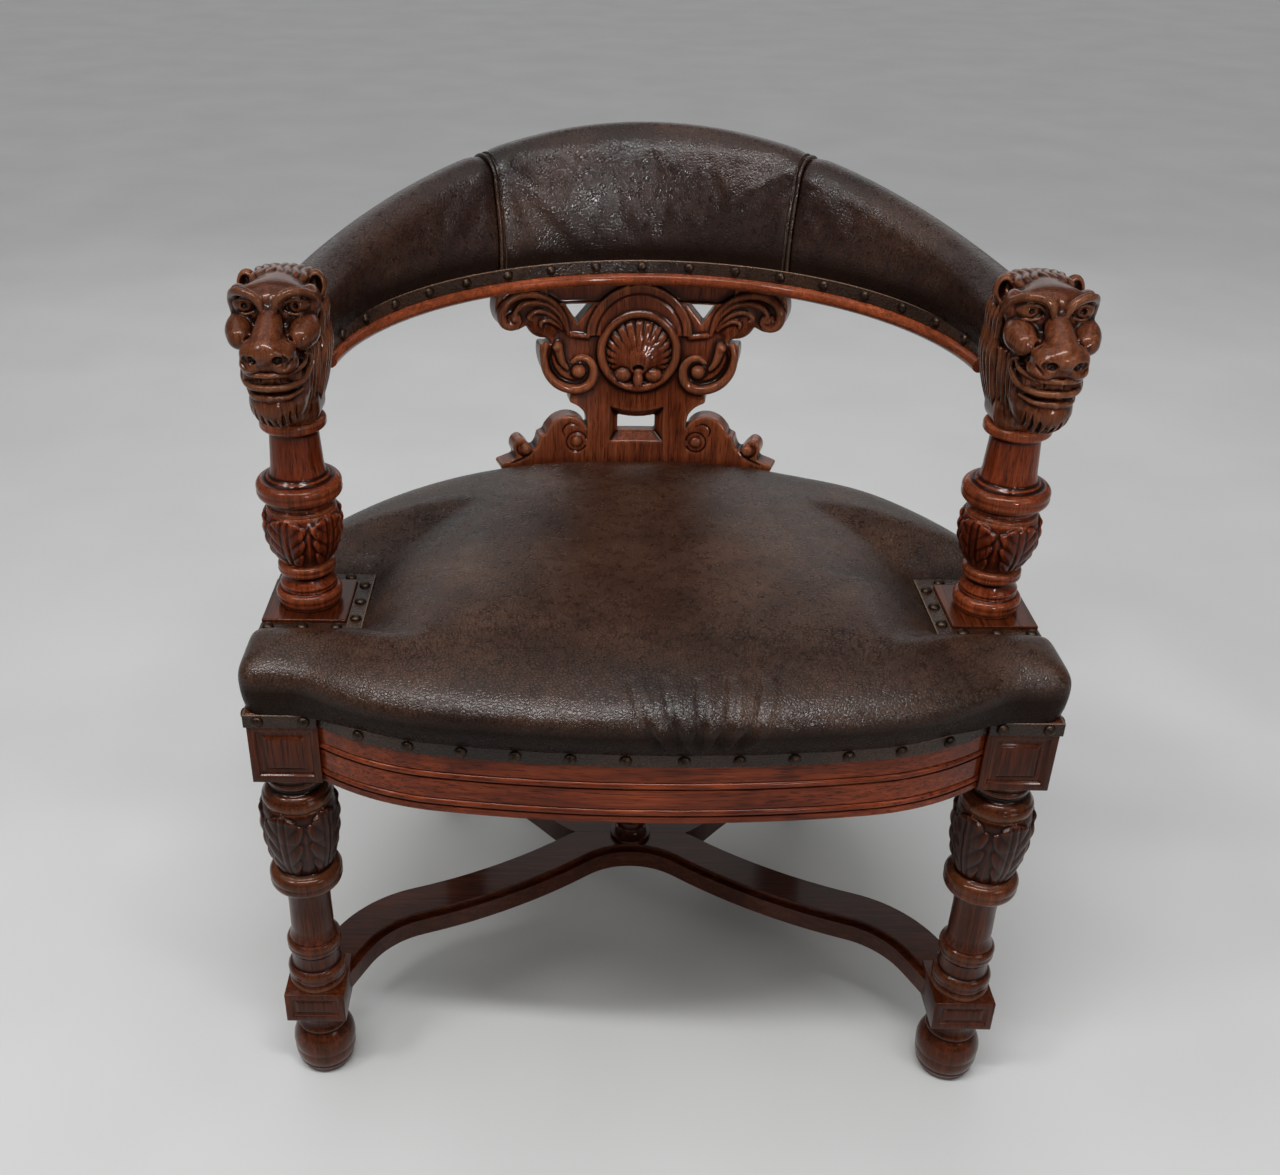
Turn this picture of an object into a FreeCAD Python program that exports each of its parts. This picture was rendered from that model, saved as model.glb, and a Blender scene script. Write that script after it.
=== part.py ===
import FreeCAD
import Part
import math
import os

# Library armchair: carved oak frame, horseshoe arm rail on lion heads, leather upholstery.
# Millimetres, +Z up, floor at Z 0. The sitter faces -Y, left is -X.
# The origin is on the floor under the middle of the chair's box.

# Seat frame
LEG_X = 310.0
LEG_Y = -180.0
LEG_BLOCK = 60.0
FRAME_BOTTOM = 366.0
RAIL_HEIGHT = 71.0
RAIL_THICK = 34.0
RAIL_REVEAL = 2.0
FRONT_RAIL_THICK = 30.0
BOW_DEPTH = 79.0
BOW_RADIUS = 1246.0
BOW_SHOULDER_X = 180.0
SHOULDER_RADIUS = 230.0
SEAT_DEPTH = 425.0
SIDE_RADIUS = 290.0
BACK_RADIUS = 480.0
RUN_BEAD_DIA = 6.4
RUN_BEAD_PROUD = 1.0
RUN_BEAD_QUIRK = 1.2
RUN_BEAD_RISE = 10.0
RUN_BEAD_PITCH = 27.2
TENON_THICK = 16.0
TENON_HEIGHT = 44.0
TENON_LENGTH = 22.0
JOINT_FIT = 0.15

# Front legs, floor upwards
FOOT_DIA = 60.0
FOOT_HEIGHT = 54.0
FOOT_BASE_DIA = 44.0
ANKLE_DIA = 45.0
ANKLE_HEIGHT = 23.0
LOW_BLOCK = 57.0
LOW_BLOCK_HEIGHT = 34.0
COLLAR_DIA = 54.0
COLLAR_HEIGHT = 26.0
COLLAR_COVE_HEIGHT = 15.0
COLLAR_RING_DIA = 50.0
COLLAR_RING_HEIGHT = 16.0
SHAFT_DIA = 41.0
LEG_RING_DIA = 65.0
LEG_RING_HEIGHT = 21.0
LEG_BULB_DIA = 70.0
LEG_BULB_FOOT_DIA = 52.0
LEG_BULB_TOP_DIA = 56.0
LEG_BULB_HEIGHT = 73.0
LEG_NECK_DIA = 44.0
LEG_CAP_DIA = 57.0
LEG_CAP_HEIGHT = 39.0
BLOCK_FIELD = 40.0
BLOCK_FIELD_RISE = 37.0
LOW_FIELD_RISE = 19.0
FIELD_GROOVE = 4.0
FIELD_DEPTH = 2.5
LEATHER_EDGE = 13.0

# Rear legs
REAR_LEG_TURN = 32.6
REAR_LEG_TOP = 50.0
REAR_FOOT = 44.0
REAR_SPLAY = 14.0
REAR_RAKE = 71.0

# Stretcher
STRETCHER_BOTTOM = 81.0
STRETCHER_THICK = 27.0
STRETCHER_WIDTH = 42.0
STRETCHER_MOULD = 5.0
STRETCHER_MOULD_RISE = 7.0
CROSS_SHARE = 0.522
CROSS_LAP = 4.0
YOKE_BEND = 97.0
FRONT_YOKE_BEND = 108.0
FRONT_YOKE_TURNS = (38.0, 19.5, 65.0)
REAR_YOKE_BEND = 150.0
REAR_YOKE_TURNS = (50.0, 40.0, 60.0)
FINIAL_DIA = 44.0
FINIAL_HEIGHT = 42.0
FINIAL_SPIGOT = 12.0
FINIAL_SPIGOT_LENGTH = 20.0

# Arm plinths and posts, plinth upwards
POST_X = 304.0
POST_SETBACK = 103.5
PLINTH = 75.0
PLINTH_HEIGHT = 35.0
CLEAT_HEIGHT = 36.0
POST_TENON_DIA = 24.0
POST_TENON_LENGTH = 30.0
POST_BASE_DIA = 58.0
POST_BASE_HEIGHT = 18.0
POST_SCOTIA_DIA = 45.0
POST_SCOTIA_HEIGHT = 14.0
POST_RING_DIA = 50.0
POST_RING_HEIGHT = 11.0
POST_BULB_DIA = 66.0
POST_BULB_FOOT_DIA = 44.0
POST_BULB_TOP_DIA = 56.0
POST_BULB_HEIGHT = 51.0
POST_COVE_DIA = 56.0
POST_COVE_HEIGHT = 10.5
POST_TORUS_DIA = 73.0
POST_TORUS_HEIGHT = 18.0
POST_SHAFT_FOOT_DIA = 48.0
POST_SHAFT_TOP_DIA = 42.0
POST_SHAFT_HEIGHT = 45.5
POST_NECK_DIA = 56.0
POST_NECK_HEIGHT = 10.0
POST_SPIGOT_DIA = 20.0
POST_SPIGOT_LENGTH = 24.0

# Lion heads
HEAD_WIDTH = 84.0
HEAD_HEIGHT = 108.0
HEAD_FRONT = 84.0
HEAD_BACK = 36.5
FACE_FRONT = 42.0
MUZZLE_WIDTH = 49.0
MUZZLE_HEIGHT = 74.0
NECK_DIA = 54.0
NECK_HEIGHT = 20.0
EAR_DIA = 24.0
EAR_SPREAD = 26.0
CHEEK_DIA = 29.0
CHEEK_SPREAD = 25.0

# Arm rail and its upholstery
ARM_RAIL_RISE = 28.0
ARM_RAIL_HEIGHT = 12.0
ARM_RAIL_WIDTH = 58.0
ARM_RAIL_AHEAD = 6.5
BEAD_DIA = 12.0
BEAD_PROUD = 4.0
PAD_INSET = 3.0
PAD_BACK_HEIGHT = 138.0
PAD_END_HEIGHT = 54.0
PAD_LEAN = 12.0
PAD_SWELL_IN = 6.0
PAD_SWELL_OUT = 8.5
PAD_ROLL = 27.0
SEAM_ANGLE = 30.0
LEATHER = 2.0
WELT_DIA = 5.0
GIMP_WIDTH = 13.0
GIMP_THICK = 2.0
NAIL_DIA = 10.5
NAIL_RISE = 3.6
NAIL_SEAT = 0.1
NAIL_PITCH = 47.0

# Back splat
SPLAT_THICK = 24.0
SPLAT_LEAN = 3.0
SPLAT_SPARE = 3.0
SPLAT_SET_BACK = 20.0
SPLAT_HALF_WIDTH = 150.5
SPLAT_FOOT_HALF = 139.0
SPLAT_NECK_HALF = 53.0
SHELL_RING_DIA = 87.0
SHELL_RING_BORE = 70.0
SHELL_RING_PROUD = 6.0
SHELL_DROP = 76.0
WINDOW_HALF = 19.0
WINDOW_BOTTOM = 75.0
WINDOW_HEIGHT = 18.0

# Seat upholstery
WEB_WIDTH = 50.0
WEB_THICK = 2.0
WEB_GAP = 34.0
HESSIAN = 1.0
SEAT_RISE = 70.0
SEAT_OVERHANG = 17.2
SEAT_SIDE_OVERHANG = 5.0
SEAT_CORNER = 18.0
SEAT_TUCK = 11.0
SEAT_SWAGE = 40.0
SOFT_GAP = 0.3
PLINTH_STRIP = 15.0
PLINTH_STRIP_DROP = 5.0
RECESS_FLARE = 40.0
RECESS_RISE = 46.0

# Fixings
DOWEL_DIA = 10.0
DOWEL_LENGTH = 44.0
THIN_DOWEL_DIA = 8.0
SCREW_DIA = 5.0
SCREW_HEAD_DIA = 10.0
SCREW_HEAD_RISE = 3.0
SCREW_LENGTH = 46.0
CORNER_BLOCK_HEIGHT = 30.0
CORNER_BLOCK_REACH = 70.0
CORNER_BLOCK_RISE = 4.0

# Worked-out levels and places
FRAME_TOP = FRAME_BOTTOM + RAIL_HEIGHT
BLOCK_IN_X = LEG_X - LEG_BLOCK / 2
BLOCK_BACK_Y = LEG_Y + LEG_BLOCK / 2
BLOCK_FRONT_Y = LEG_Y - LEG_BLOCK / 2
SIDE_X = LEG_X + LEG_BLOCK / 2 - RAIL_REVEAL
BOW_Y = LEG_Y - BOW_DEPTH
BACK_Y = LEG_Y + SEAT_DEPTH
POST_Y = LEG_Y + POST_SETBACK
PLINTH_TOP = FRAME_TOP + PLINTH_HEIGHT
POST_TOP = (PLINTH_TOP + POST_BASE_HEIGHT + POST_SCOTIA_HEIGHT + POST_RING_HEIGHT + POST_BULB_HEIGHT
            + POST_COVE_HEIGHT + POST_TORUS_HEIGHT + POST_SHAFT_HEIGHT + POST_NECK_HEIGHT)
HEAD_BACK_Y = POST_Y + HEAD_BACK
RAIL_CY = POST_Y + ARM_RAIL_AHEAD
RAIL_BASE = POST_TOP + ARM_RAIL_RISE
RAIL_TOP = RAIL_BASE + ARM_RAIL_HEIGHT
RAIL_IN = POST_X - ARM_RAIL_WIDTH / 2
RAIL_OUT = POST_X + ARM_RAIL_WIDTH / 2
SPLAT_Y = BACK_Y - SPLAT_SET_BACK
SPLAT_CURVE_Y = BACK_Y - BACK_RADIUS
STRETCHER_TOP = STRETCHER_BOTTOM + STRETCHER_THICK
CROSS_Y = LEG_Y + CROSS_SHARE * SEAT_DEPTH
SIDE_CX = SIDE_X - SIDE_RADIUS
SIDE_CY = BACK_Y - BACK_RADIUS + math.sqrt((BACK_RADIUS - SIDE_RADIUS) ** 2 - SIDE_CX ** 2)
REAR_LEG_X = SIDE_CX + (SIDE_RADIUS - RAIL_THICK / 2) * math.sin(math.radians(REAR_LEG_TURN))
REAR_LEG_Y = SIDE_CY + (SIDE_RADIUS - RAIL_THICK / 2) * math.cos(math.radians(REAR_LEG_TURN))
FAR = 2000.0

pieces = {}


def vec(x, y, z=0.0):
    return FreeCAD.Vector(x, y, z)


def mirrored(shape):
    return shape.mirror(vec(0, 0), vec(1, 0))


def box(x0, x1, y0, y1, z0, z1):
    return Part.makeBox(x1 - x0, y1 - y0, z1 - z0, vec(x0, y0, z0))


def merged(shapes):
    return shapes[0].fuse(shapes[1:]).removeSplitter()


def extruded(wire, height):
    return Part.Face(wire).extrude(vec(0, 0, height))


def polygon(points):
    return Part.makePolygon([vec(*p) for p in points] + [vec(*points[0])])


def turned(x, y, profile):
    """Solid of revolution about a vertical axis. (r, z) is a line, (r, z, r_mid, z_mid) an arc."""
    r, z = profile[0]
    here = vec(r, 0, z)
    edges = [Part.makeLine(vec(0, 0, z), here)]
    for step in profile[1:]:
        there = vec(step[0], 0, step[1])
        if len(step) == 4:
            edges.append(Part.Arc(here, vec(step[2], 0, step[3]), there).toShape())
        else:
            edges.append(Part.makeLine(here, there))
        here = there
    top = vec(0, 0, here.z)
    edges.append(Part.makeLine(here, top))
    edges.append(Part.makeLine(top, vec(0, 0, z)))
    solid = Part.Face(Part.Wire(edges)).revolve(vec(0, 0), vec(0, 0, 1), 360)
    return solid.translated(vec(x, y))


def walk(start, heading, steps):
    """Chain of tangent lines and arcs in plan. A step is (length,) or (radius, turn in degrees).

    Returns rows of (start, middle, end, normals at the three), the normal to the right of the way.
    """
    rows = []
    x, y = start
    for step in steps:
        normal = (math.sin(heading), -math.cos(heading))
        if len(step) == 1:
            dx = math.cos(heading) * step[0]
            dy = math.sin(heading) * step[0]
            rows.append(((x, y), None, (x + dx, y + dy), normal, None, normal))
            x, y = x + dx, y + dy
            continue
        radius = step[0]
        turn = math.radians(step[1])
        side = math.copysign(1.0, turn)
        cx = x - normal[0] * radius * side
        cy = y - normal[1] * radius * side
        marks = []
        for share in (0.5, 1.0):
            angle = heading + turn * share
            n = (math.sin(angle), -math.cos(angle))
            marks.append(((cx + n[0] * radius * side, cy + n[1] * radius * side), n))
        rows.append(((x, y), marks[0][0], marks[1][0], normal, marks[0][1], marks[1][1]))
        x, y = marks[1][0]
        heading += turn
    return rows


def chain_edges(rows, grow, z):
    """Edges of a walked chain, moved out along its normals by grow."""
    edges = []
    for start, middle, end, n0, n1, n2 in rows:
        a = vec(start[0] + n0[0] * grow, start[1] + n0[1] * grow, z)
        b = vec(end[0] + n2[0] * grow, end[1] + n2[1] * grow, z)
        if middle is None:
            edges.append(Part.makeLine(a, b))
        else:
            m = vec(middle[0] + n1[0] * grow, middle[1] + n1[1] * grow, z)
            edges.append(Part.Arc(a, m, b).toShape())
    return edges


def both_sides(edges):
    """A right-hand half chain that starts on the middle line, with its mirrored left half."""
    return [mirrored(e) for e in reversed(edges)] + edges


def chain_end(rows, grow, z):
    """Far end of a walked chain, moved out along its normal by grow."""
    end = rows[-1][2]
    normal = rows[-1][5]
    return vec(end[0] + normal[0] * grow, end[1] + normal[1] * grow, z)


def band(rows, grow_in, grow_out, z, height):
    """Strip between two offsets of a half chain that starts on the middle line, both halves."""
    cap = Part.makeLine(chain_end(rows, grow_out, z), chain_end(rows, grow_in, z))
    edges = both_sides(chain_edges(rows, grow_out, z))
    edges += both_sides(chain_edges(rows, grow_in, z))
    edges += [cap, mirrored(cap)]
    return extruded(Part.Wire(Part.__sortEdges__(edges)), height)


def plug(names, radius, length, centre, direction):
    """A dowel centred on a joint: bores the named pieces and returns the dowel."""
    way = vec(*direction)
    way.normalize()
    base = vec(*centre) - way * (length / 2)
    bore = Part.makeCylinder(radius + JOINT_FIT, length + 2 * JOINT_FIT, base - way * JOINT_FIT, way)
    for name in names:
        pieces[name] = pieces[name].cut(bore)
    return Part.makeCylinder(radius, length, base, way)


def nail(x, y, z, direction):
    """Domed upholstery nail head whose flat back stands on (x, y, z), facing direction."""
    rim = NAIL_DIA / 2
    ball = (rim * rim + NAIL_RISE * NAIL_RISE) / (2 * NAIL_RISE)
    arc = Part.Arc(vec(rim, 0, 0), vec(ball * math.sin(math.asin(rim / ball) / 2), 0,
                   NAIL_RISE - ball + ball * math.cos(math.asin(rim / ball) / 2)), vec(0, 0, NAIL_RISE))
    edges = [Part.makeLine(vec(0, 0), vec(rim, 0)), arc.toShape(), Part.makeLine(vec(0, 0, NAIL_RISE), vec(0, 0))]
    head = Part.Face(Part.Wire(edges)).revolve(vec(0, 0), vec(0, 0, 1), 360)
    way = vec(*direction)
    way.normalize()
    head.Placement = FreeCAD.Placement(vec(x, y, z) + way * NAIL_SEAT, FreeCAD.Rotation(vec(0, 0, 1), way))
    return head


def places_along(rows, grow, pitch, first):
    """Evenly spaced (x, y, normal) along a right-hand half chain, from first, at about the pitch."""
    wire = Part.Wire(Part.__sortEdges__(chain_edges(rows, grow, 0)))
    count = max(1, round((wire.Length - first) / pitch))
    step = (wire.Length - first) / count
    places = []
    for i in range(count):
        run = first + step * i
        for edge in wire.OrderedEdges:
            if run <= edge.Length + 1e-6:
                break
            run -= edge.Length
        point = edge.valueAt(edge.getParameterByLength(min(run, edge.Length)))
        tangent = edge.tangentAt(edge.getParameterByLength(min(run, edge.Length)))
        normal = vec(tangent.y, -tangent.x)
        places.append((point.x, point.y, normal))
    return places


def sunk_field(x, y, z, width, rise, along_x):
    """Groove that leaves a raised field on a block's face, as a cutter centred on the face."""
    half = width / 2
    deep = FIELD_DEPTH
    inner = half - FIELD_GROOVE
    low = rise / 2
    inner_low = low - FIELD_GROOVE
    if along_x:
        ring = box(x - half, x + half, y - deep, y + deep, z - low, z + low)
        return ring.cut(box(x - inner, x + inner, y - deep, y + deep, z - inner_low, z + inner_low))
    ring = box(x - deep, x + deep, y - half, y + half, z - low, z + low)
    return ring.cut(box(x - deep, x + deep, y - inner, y + inner, z - inner_low, z + inner_low))


def front_bow(apex_y, end_x):
    """Half plan of the bowed front, from the middle out to end_x."""
    sweep = math.asin(BOW_SHOULDER_X / BOW_RADIUS)
    cx = (BOW_RADIUS - SHOULDER_RADIUS) * math.sin(sweep)
    turn = math.asin((end_x - cx) / SHOULDER_RADIUS) - sweep
    return walk((0, apex_y), 0.0, [(BOW_RADIUS, math.degrees(sweep)), (SHOULDER_RADIUS, math.degrees(turn))])


def side_and_back(side_x, back_y, start_y):
    """Half plan from the side's front end to the middle of the back."""
    cx = side_x - SIDE_RADIUS
    gap = BACK_RADIUS - SIDE_RADIUS
    reach = math.sqrt(gap * gap - cx * cx)
    cy = back_y - BACK_RADIUS + reach
    lean = math.degrees(math.atan2(cx, reach))
    steps = [(cy - start_y,), (SIDE_RADIUS, 90.0 - lean), (BACK_RADIUS, lean)]
    return walk((side_x, start_y), math.pi / 2, steps)


def from_back(rows):
    """The same half chain walked from the middle of the back."""
    return [(end, middle, start, n2, n1, n0) for start, middle, end, n0, n1, n2 in reversed(rows)]


def make_front_leg():
    z_ankle = FOOT_HEIGHT
    z_block = z_ankle + ANKLE_HEIGHT
    z_collar = z_block + LOW_BLOCK_HEIGHT
    z_cove = z_collar + COLLAR_HEIGHT
    z_ring = z_cove + COLLAR_COVE_HEIGHT
    z_shaft = z_ring + COLLAR_RING_HEIGHT
    z_cap = FRAME_BOTTOM - LEG_CAP_HEIGHT
    z_bulb = z_cap - LEG_BULB_HEIGHT
    z_torus = z_bulb - LEG_RING_HEIGHT
    shaft = SHAFT_DIA / 2
    neck = LEG_NECK_DIA / 2
    cap = LEG_CAP_DIA / 2
    foot = turned(LEG_X, LEG_Y, [
        (FOOT_BASE_DIA / 2, 0),
        (ANKLE_DIA / 2, z_ankle, FOOT_DIA / 2, z_ankle * 0.45),
        (ANKLE_DIA / 2, z_block)])
    upper = turned(LEG_X, LEG_Y, [
        (shaft, z_collar),
        (shaft, z_cove, COLLAR_DIA / 2, (z_collar + z_cove) / 2),
        (shaft, z_ring),
        (shaft, z_shaft, COLLAR_RING_DIA / 2, (z_ring + z_shaft) / 2),
        (shaft, z_torus),
        (LEG_BULB_FOOT_DIA / 2, z_bulb, LEG_RING_DIA / 2, (z_torus + z_bulb) / 2),
        (LEG_BULB_TOP_DIA / 2, z_cap, LEG_BULB_DIA / 2, z_bulb + LEG_BULB_HEIGHT * 0.58),
        (neck, z_cap),
        (neck, z_cap + LEG_CAP_HEIGHT * 0.2),
        (cap, FRAME_BOTTOM - LEG_CAP_HEIGHT * 0.2, neck + 1.5, z_cap + LEG_CAP_HEIGHT * 0.62),
        (cap, FRAME_BOTTOM)])
    low = LOW_BLOCK / 2
    low_block = box(LEG_X - low, LEG_X + low, LEG_Y - low, LEG_Y + low, z_block, z_collar)
    head = box(BLOCK_IN_X, BLOCK_IN_X + LEG_BLOCK, BLOCK_FRONT_Y, BLOCK_BACK_Y, FRAME_BOTTOM, FRAME_TOP)
    z_field = (FRAME_BOTTOM + FRAME_TOP - LEATHER_EDGE) / 2
    z_low = (z_block + z_collar) / 2
    outer_x = BLOCK_IN_X + LEG_BLOCK
    head = head.cut(sunk_field(LEG_X, BLOCK_FRONT_Y, z_field, BLOCK_FIELD, BLOCK_FIELD_RISE, True))
    head = head.cut(sunk_field(outer_x, LEG_Y, z_field, BLOCK_FIELD, BLOCK_FIELD_RISE, False))
    low_block = low_block.cut(sunk_field(LEG_X, LEG_Y - low, z_low, BLOCK_FIELD, LOW_FIELD_RISE, True))
    low_block = low_block.cut(sunk_field(LEG_X + low, LEG_Y, z_low, BLOCK_FIELD, LOW_FIELD_RISE, False))
    return merged([foot, low_block, upper, head])


def make_rear_leg():
    def square(x, y, z, size):
        h = size / 2
        return polygon([(x - h, y - h, z), (x + h, y - h, z), (x + h, y + h, z), (x - h, y + h, z)])
    top = square(REAR_LEG_X, REAR_LEG_Y, FRAME_TOP, REAR_LEG_TOP)
    floor = square(REAR_LEG_X + REAR_SPLAY, REAR_LEG_Y + REAR_RAKE, 0, REAR_FOOT)
    return Part.makeLoft([floor, top], True, True)


def tenon_box(x0, x1, y0, y1):
    low_z = (FRAME_BOTTOM + FRAME_TOP - TENON_HEIGHT) / 2
    return box(x0, x1, y0, y1, low_z, low_z + TENON_HEIGHT)


def front_tenon():
    mid_y = LEG_Y - TENON_THICK / 2
    return tenon_box(BLOCK_IN_X, BLOCK_IN_X + TENON_LENGTH, mid_y - TENON_THICK / 2, mid_y + TENON_THICK / 2)


def side_tenon():
    mid_x = SIDE_X - RAIL_THICK / 2
    return tenon_box(mid_x - TENON_THICK / 2, mid_x + TENON_THICK / 2, BLOCK_BACK_Y - TENON_LENGTH, BLOCK_BACK_Y)


def make_front_rail():
    """Bowed rail with two beads run between quirks along its face and a tenon at each end."""
    past_block = BLOCK_IN_X + TENON_LENGTH / 2
    between = box(-BLOCK_IN_X, BLOCK_IN_X, -FAR, FAR, FRAME_BOTTOM, FRAME_TOP)
    bow = front_bow(BOW_Y, past_block)
    rail = band(bow, -FRONT_RAIL_THICK, 0.0, FRAME_BOTTOM, RAIL_HEIGHT)
    half = RUN_BEAD_DIA / 2
    beads = []
    for rise in (RUN_BEAD_RISE, RUN_BEAD_RISE + RUN_BEAD_PITCH):
        z = FRAME_BOTTOM + rise
        rail = rail.cut(band(bow, RUN_BEAD_PROUD - half, half, z - half - RUN_BEAD_QUIRK,
                             RUN_BEAD_DIA + 2 * RUN_BEAD_QUIRK))
        around = Part.makeCircle(half, vec(0, BOW_Y - RUN_BEAD_PROUD + half, z), vec(1, 0, 0))
        path = Part.Wire(chain_edges(bow, RUN_BEAD_PROUD - half, z))
        bead = path.makePipeShell([Part.Wire([around])], True, False).common(between)
        beads += [bead, mirrored(bead)]
    tenon = front_tenon()
    return merged([rail.common(between)] + beads + [tenon, mirrored(tenon)])


def make_ring(legs):
    """Side rails and rear rail, left to right: a horseshoe cut through by the rear legs."""
    rows = from_back(side_and_back(SIDE_X, BACK_Y, BLOCK_BACK_Y))
    ring = band(rows, -RAIL_THICK, 0.0, FRAME_BOTTOM, RAIL_HEIGHT)
    ring = ring.cut(Part.makeCompound(legs))
    left, rear, right = sorted(ring.Solids, key=lambda s: s.CenterOfMass.x)
    tenon = side_tenon()
    return merged([left, mirrored(tenon)]), rear, merged([right, tenon])


def yoke_steps(bend, end_bend, turns, reach_x, reach_y):
    """Three arcs and a straight end that lead from the cross to a leg's axis.

    The middle arc's radius and the length of the end are solved from the reach.
    """
    t0, t1, t2 = [math.radians(t) for t in turns]
    left_x = reach_x - bend * math.sin(t0) - end_bend * (math.sin(t2) - math.sin(t1))
    left_y = reach_y - bend * (1 - math.cos(t0)) - end_bend * (math.cos(t1) - math.cos(t2))
    arc_x = math.sin(t0) - math.sin(t1)
    arc_y = math.cos(t1) - math.cos(t0)
    run_x = math.cos(t2)
    run_y = math.sin(t2)
    det = arc_x * run_y - arc_y * run_x
    middle = (left_x * run_y - left_y * run_x) / det
    run = (arc_x * left_y - arc_y * left_x) / det
    return [(bend, -turns[0]), (middle, turns[0] - turns[1]), (end_bend, turns[1] - turns[2]), (run,)]


def make_yoke(steps):
    """Curved flat board between two legs, its arms towards -Y, moulded along its outer edge."""
    half = STRETCHER_WIDTH / 2
    rows = walk((0, CROSS_Y - CROSS_LAP), 0.0, steps)
    low_rise = STRETCHER_THICK - STRETCHER_MOULD_RISE
    lower = band(rows, -half, half, STRETCHER_BOTTOM, low_rise)
    upper = band(rows, -half, half - STRETCHER_MOULD, STRETCHER_BOTTOM + low_rise, STRETCHER_MOULD_RISE)
    return merged([lower, upper]).cut(box(-FAR, FAR, CROSS_Y, FAR, 0, FAR))


def rear_leg_axis(z):
    down = (FRAME_TOP - z) / FRAME_TOP
    return REAR_LEG_X + REAR_SPLAY * down, REAR_LEG_Y + REAR_RAKE * down


def make_finial():
    r = FINIAL_DIA / 2
    spigot = FINIAL_SPIGOT / 2
    z = STRETCHER_TOP
    return turned(0, CROSS_Y, [
        (spigot, z - FINIAL_SPIGOT_LENGTH),
        (spigot, z),
        (r, z),
        (r, z + FINIAL_HEIGHT * 0.1),
        (r * 0.55, z + FINIAL_HEIGHT * 0.3, r * 0.7, z + FINIAL_HEIGHT * 0.16),
        (r * 0.5, z + FINIAL_HEIGHT * 0.72, r * 0.8, z + FINIAL_HEIGHT * 0.52),
        (r * 0.15, z + FINIAL_HEIGHT, r * 0.42, z + FINIAL_HEIGHT * 0.9)])


def make_post():
    """Turned arm post with a round tenon below and a spigot for the lion head above."""
    tenon = POST_TENON_DIA / 2
    base = POST_BASE_DIA / 2
    scotia = POST_SCOTIA_DIA / 2
    bulb_foot = POST_BULB_FOOT_DIA / 2
    cove = POST_COVE_DIA / 2
    z_base = PLINTH_TOP
    z_scotia = z_base + POST_BASE_HEIGHT
    z_ring = z_scotia + POST_SCOTIA_HEIGHT
    z_bulb = z_ring + POST_RING_HEIGHT
    z_cove = z_bulb + POST_BULB_HEIGHT
    z_torus = z_cove + POST_COVE_HEIGHT
    z_shaft = z_torus + POST_TORUS_HEIGHT
    z_neck = z_shaft + POST_SHAFT_HEIGHT
    shaft_top = POST_SHAFT_TOP_DIA / 2
    spigot = POST_SPIGOT_DIA / 2
    return turned(POST_X, POST_Y, [
        (tenon, z_base - POST_TENON_LENGTH),
        (tenon, z_base),
        (base, z_base),
        (base, z_base + POST_BASE_HEIGHT * 0.25),
        (scotia, z_scotia, base - 0.5, z_base + POST_BASE_HEIGHT * 0.65),
        (bulb_foot, z_ring, scotia - 2.0, (z_scotia + z_ring) / 2),
        (bulb_foot, z_bulb, POST_RING_DIA / 2, (z_ring + z_bulb) / 2),
        (POST_BULB_TOP_DIA / 2, z_cove, POST_BULB_DIA / 2, z_bulb + POST_BULB_HEIGHT * 0.6),
        (cove, z_torus, cove - 3.0, (z_cove + z_torus) / 2),
        (cove, z_shaft, POST_TORUS_DIA / 2, (z_torus + z_shaft) / 2),
        (POST_SHAFT_FOOT_DIA / 2, z_shaft),
        (shaft_top, z_neck),
        (shaft_top, POST_TOP, POST_NECK_DIA / 2, (z_neck + POST_TOP) / 2),
        (spigot, POST_TOP),
        (spigot, POST_TOP + POST_SPIGOT_LENGTH)])


def rounded_frame(x, y, z, width, height, radius):
    """Upright rounded rectangle in the plane of y, as lines and quarter arcs."""
    w = width / 2
    h = height / 2
    k = radius * (1 - math.sqrt(0.5))
    corners = ((1, -1), (1, 1), (-1, 1), (-1, -1))
    edges = []
    last = vec(x - w + radius, y, z - h)
    for i, (sx, sz) in enumerate(corners):
        along = vec(x + sx * (w - radius), y, z + sz * h)
        up = vec(x + sx * w, y, z + sz * (h - radius))
        first, second = (along, up) if i % 2 == 0 else (up, along)
        edges.append(Part.makeLine(last, first))
        edges.append(Part.Arc(first, vec(x + sx * (w - k), y, z + sz * (h - k)), second).toShape())
        last = second
    return Part.Wire(edges)


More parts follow.
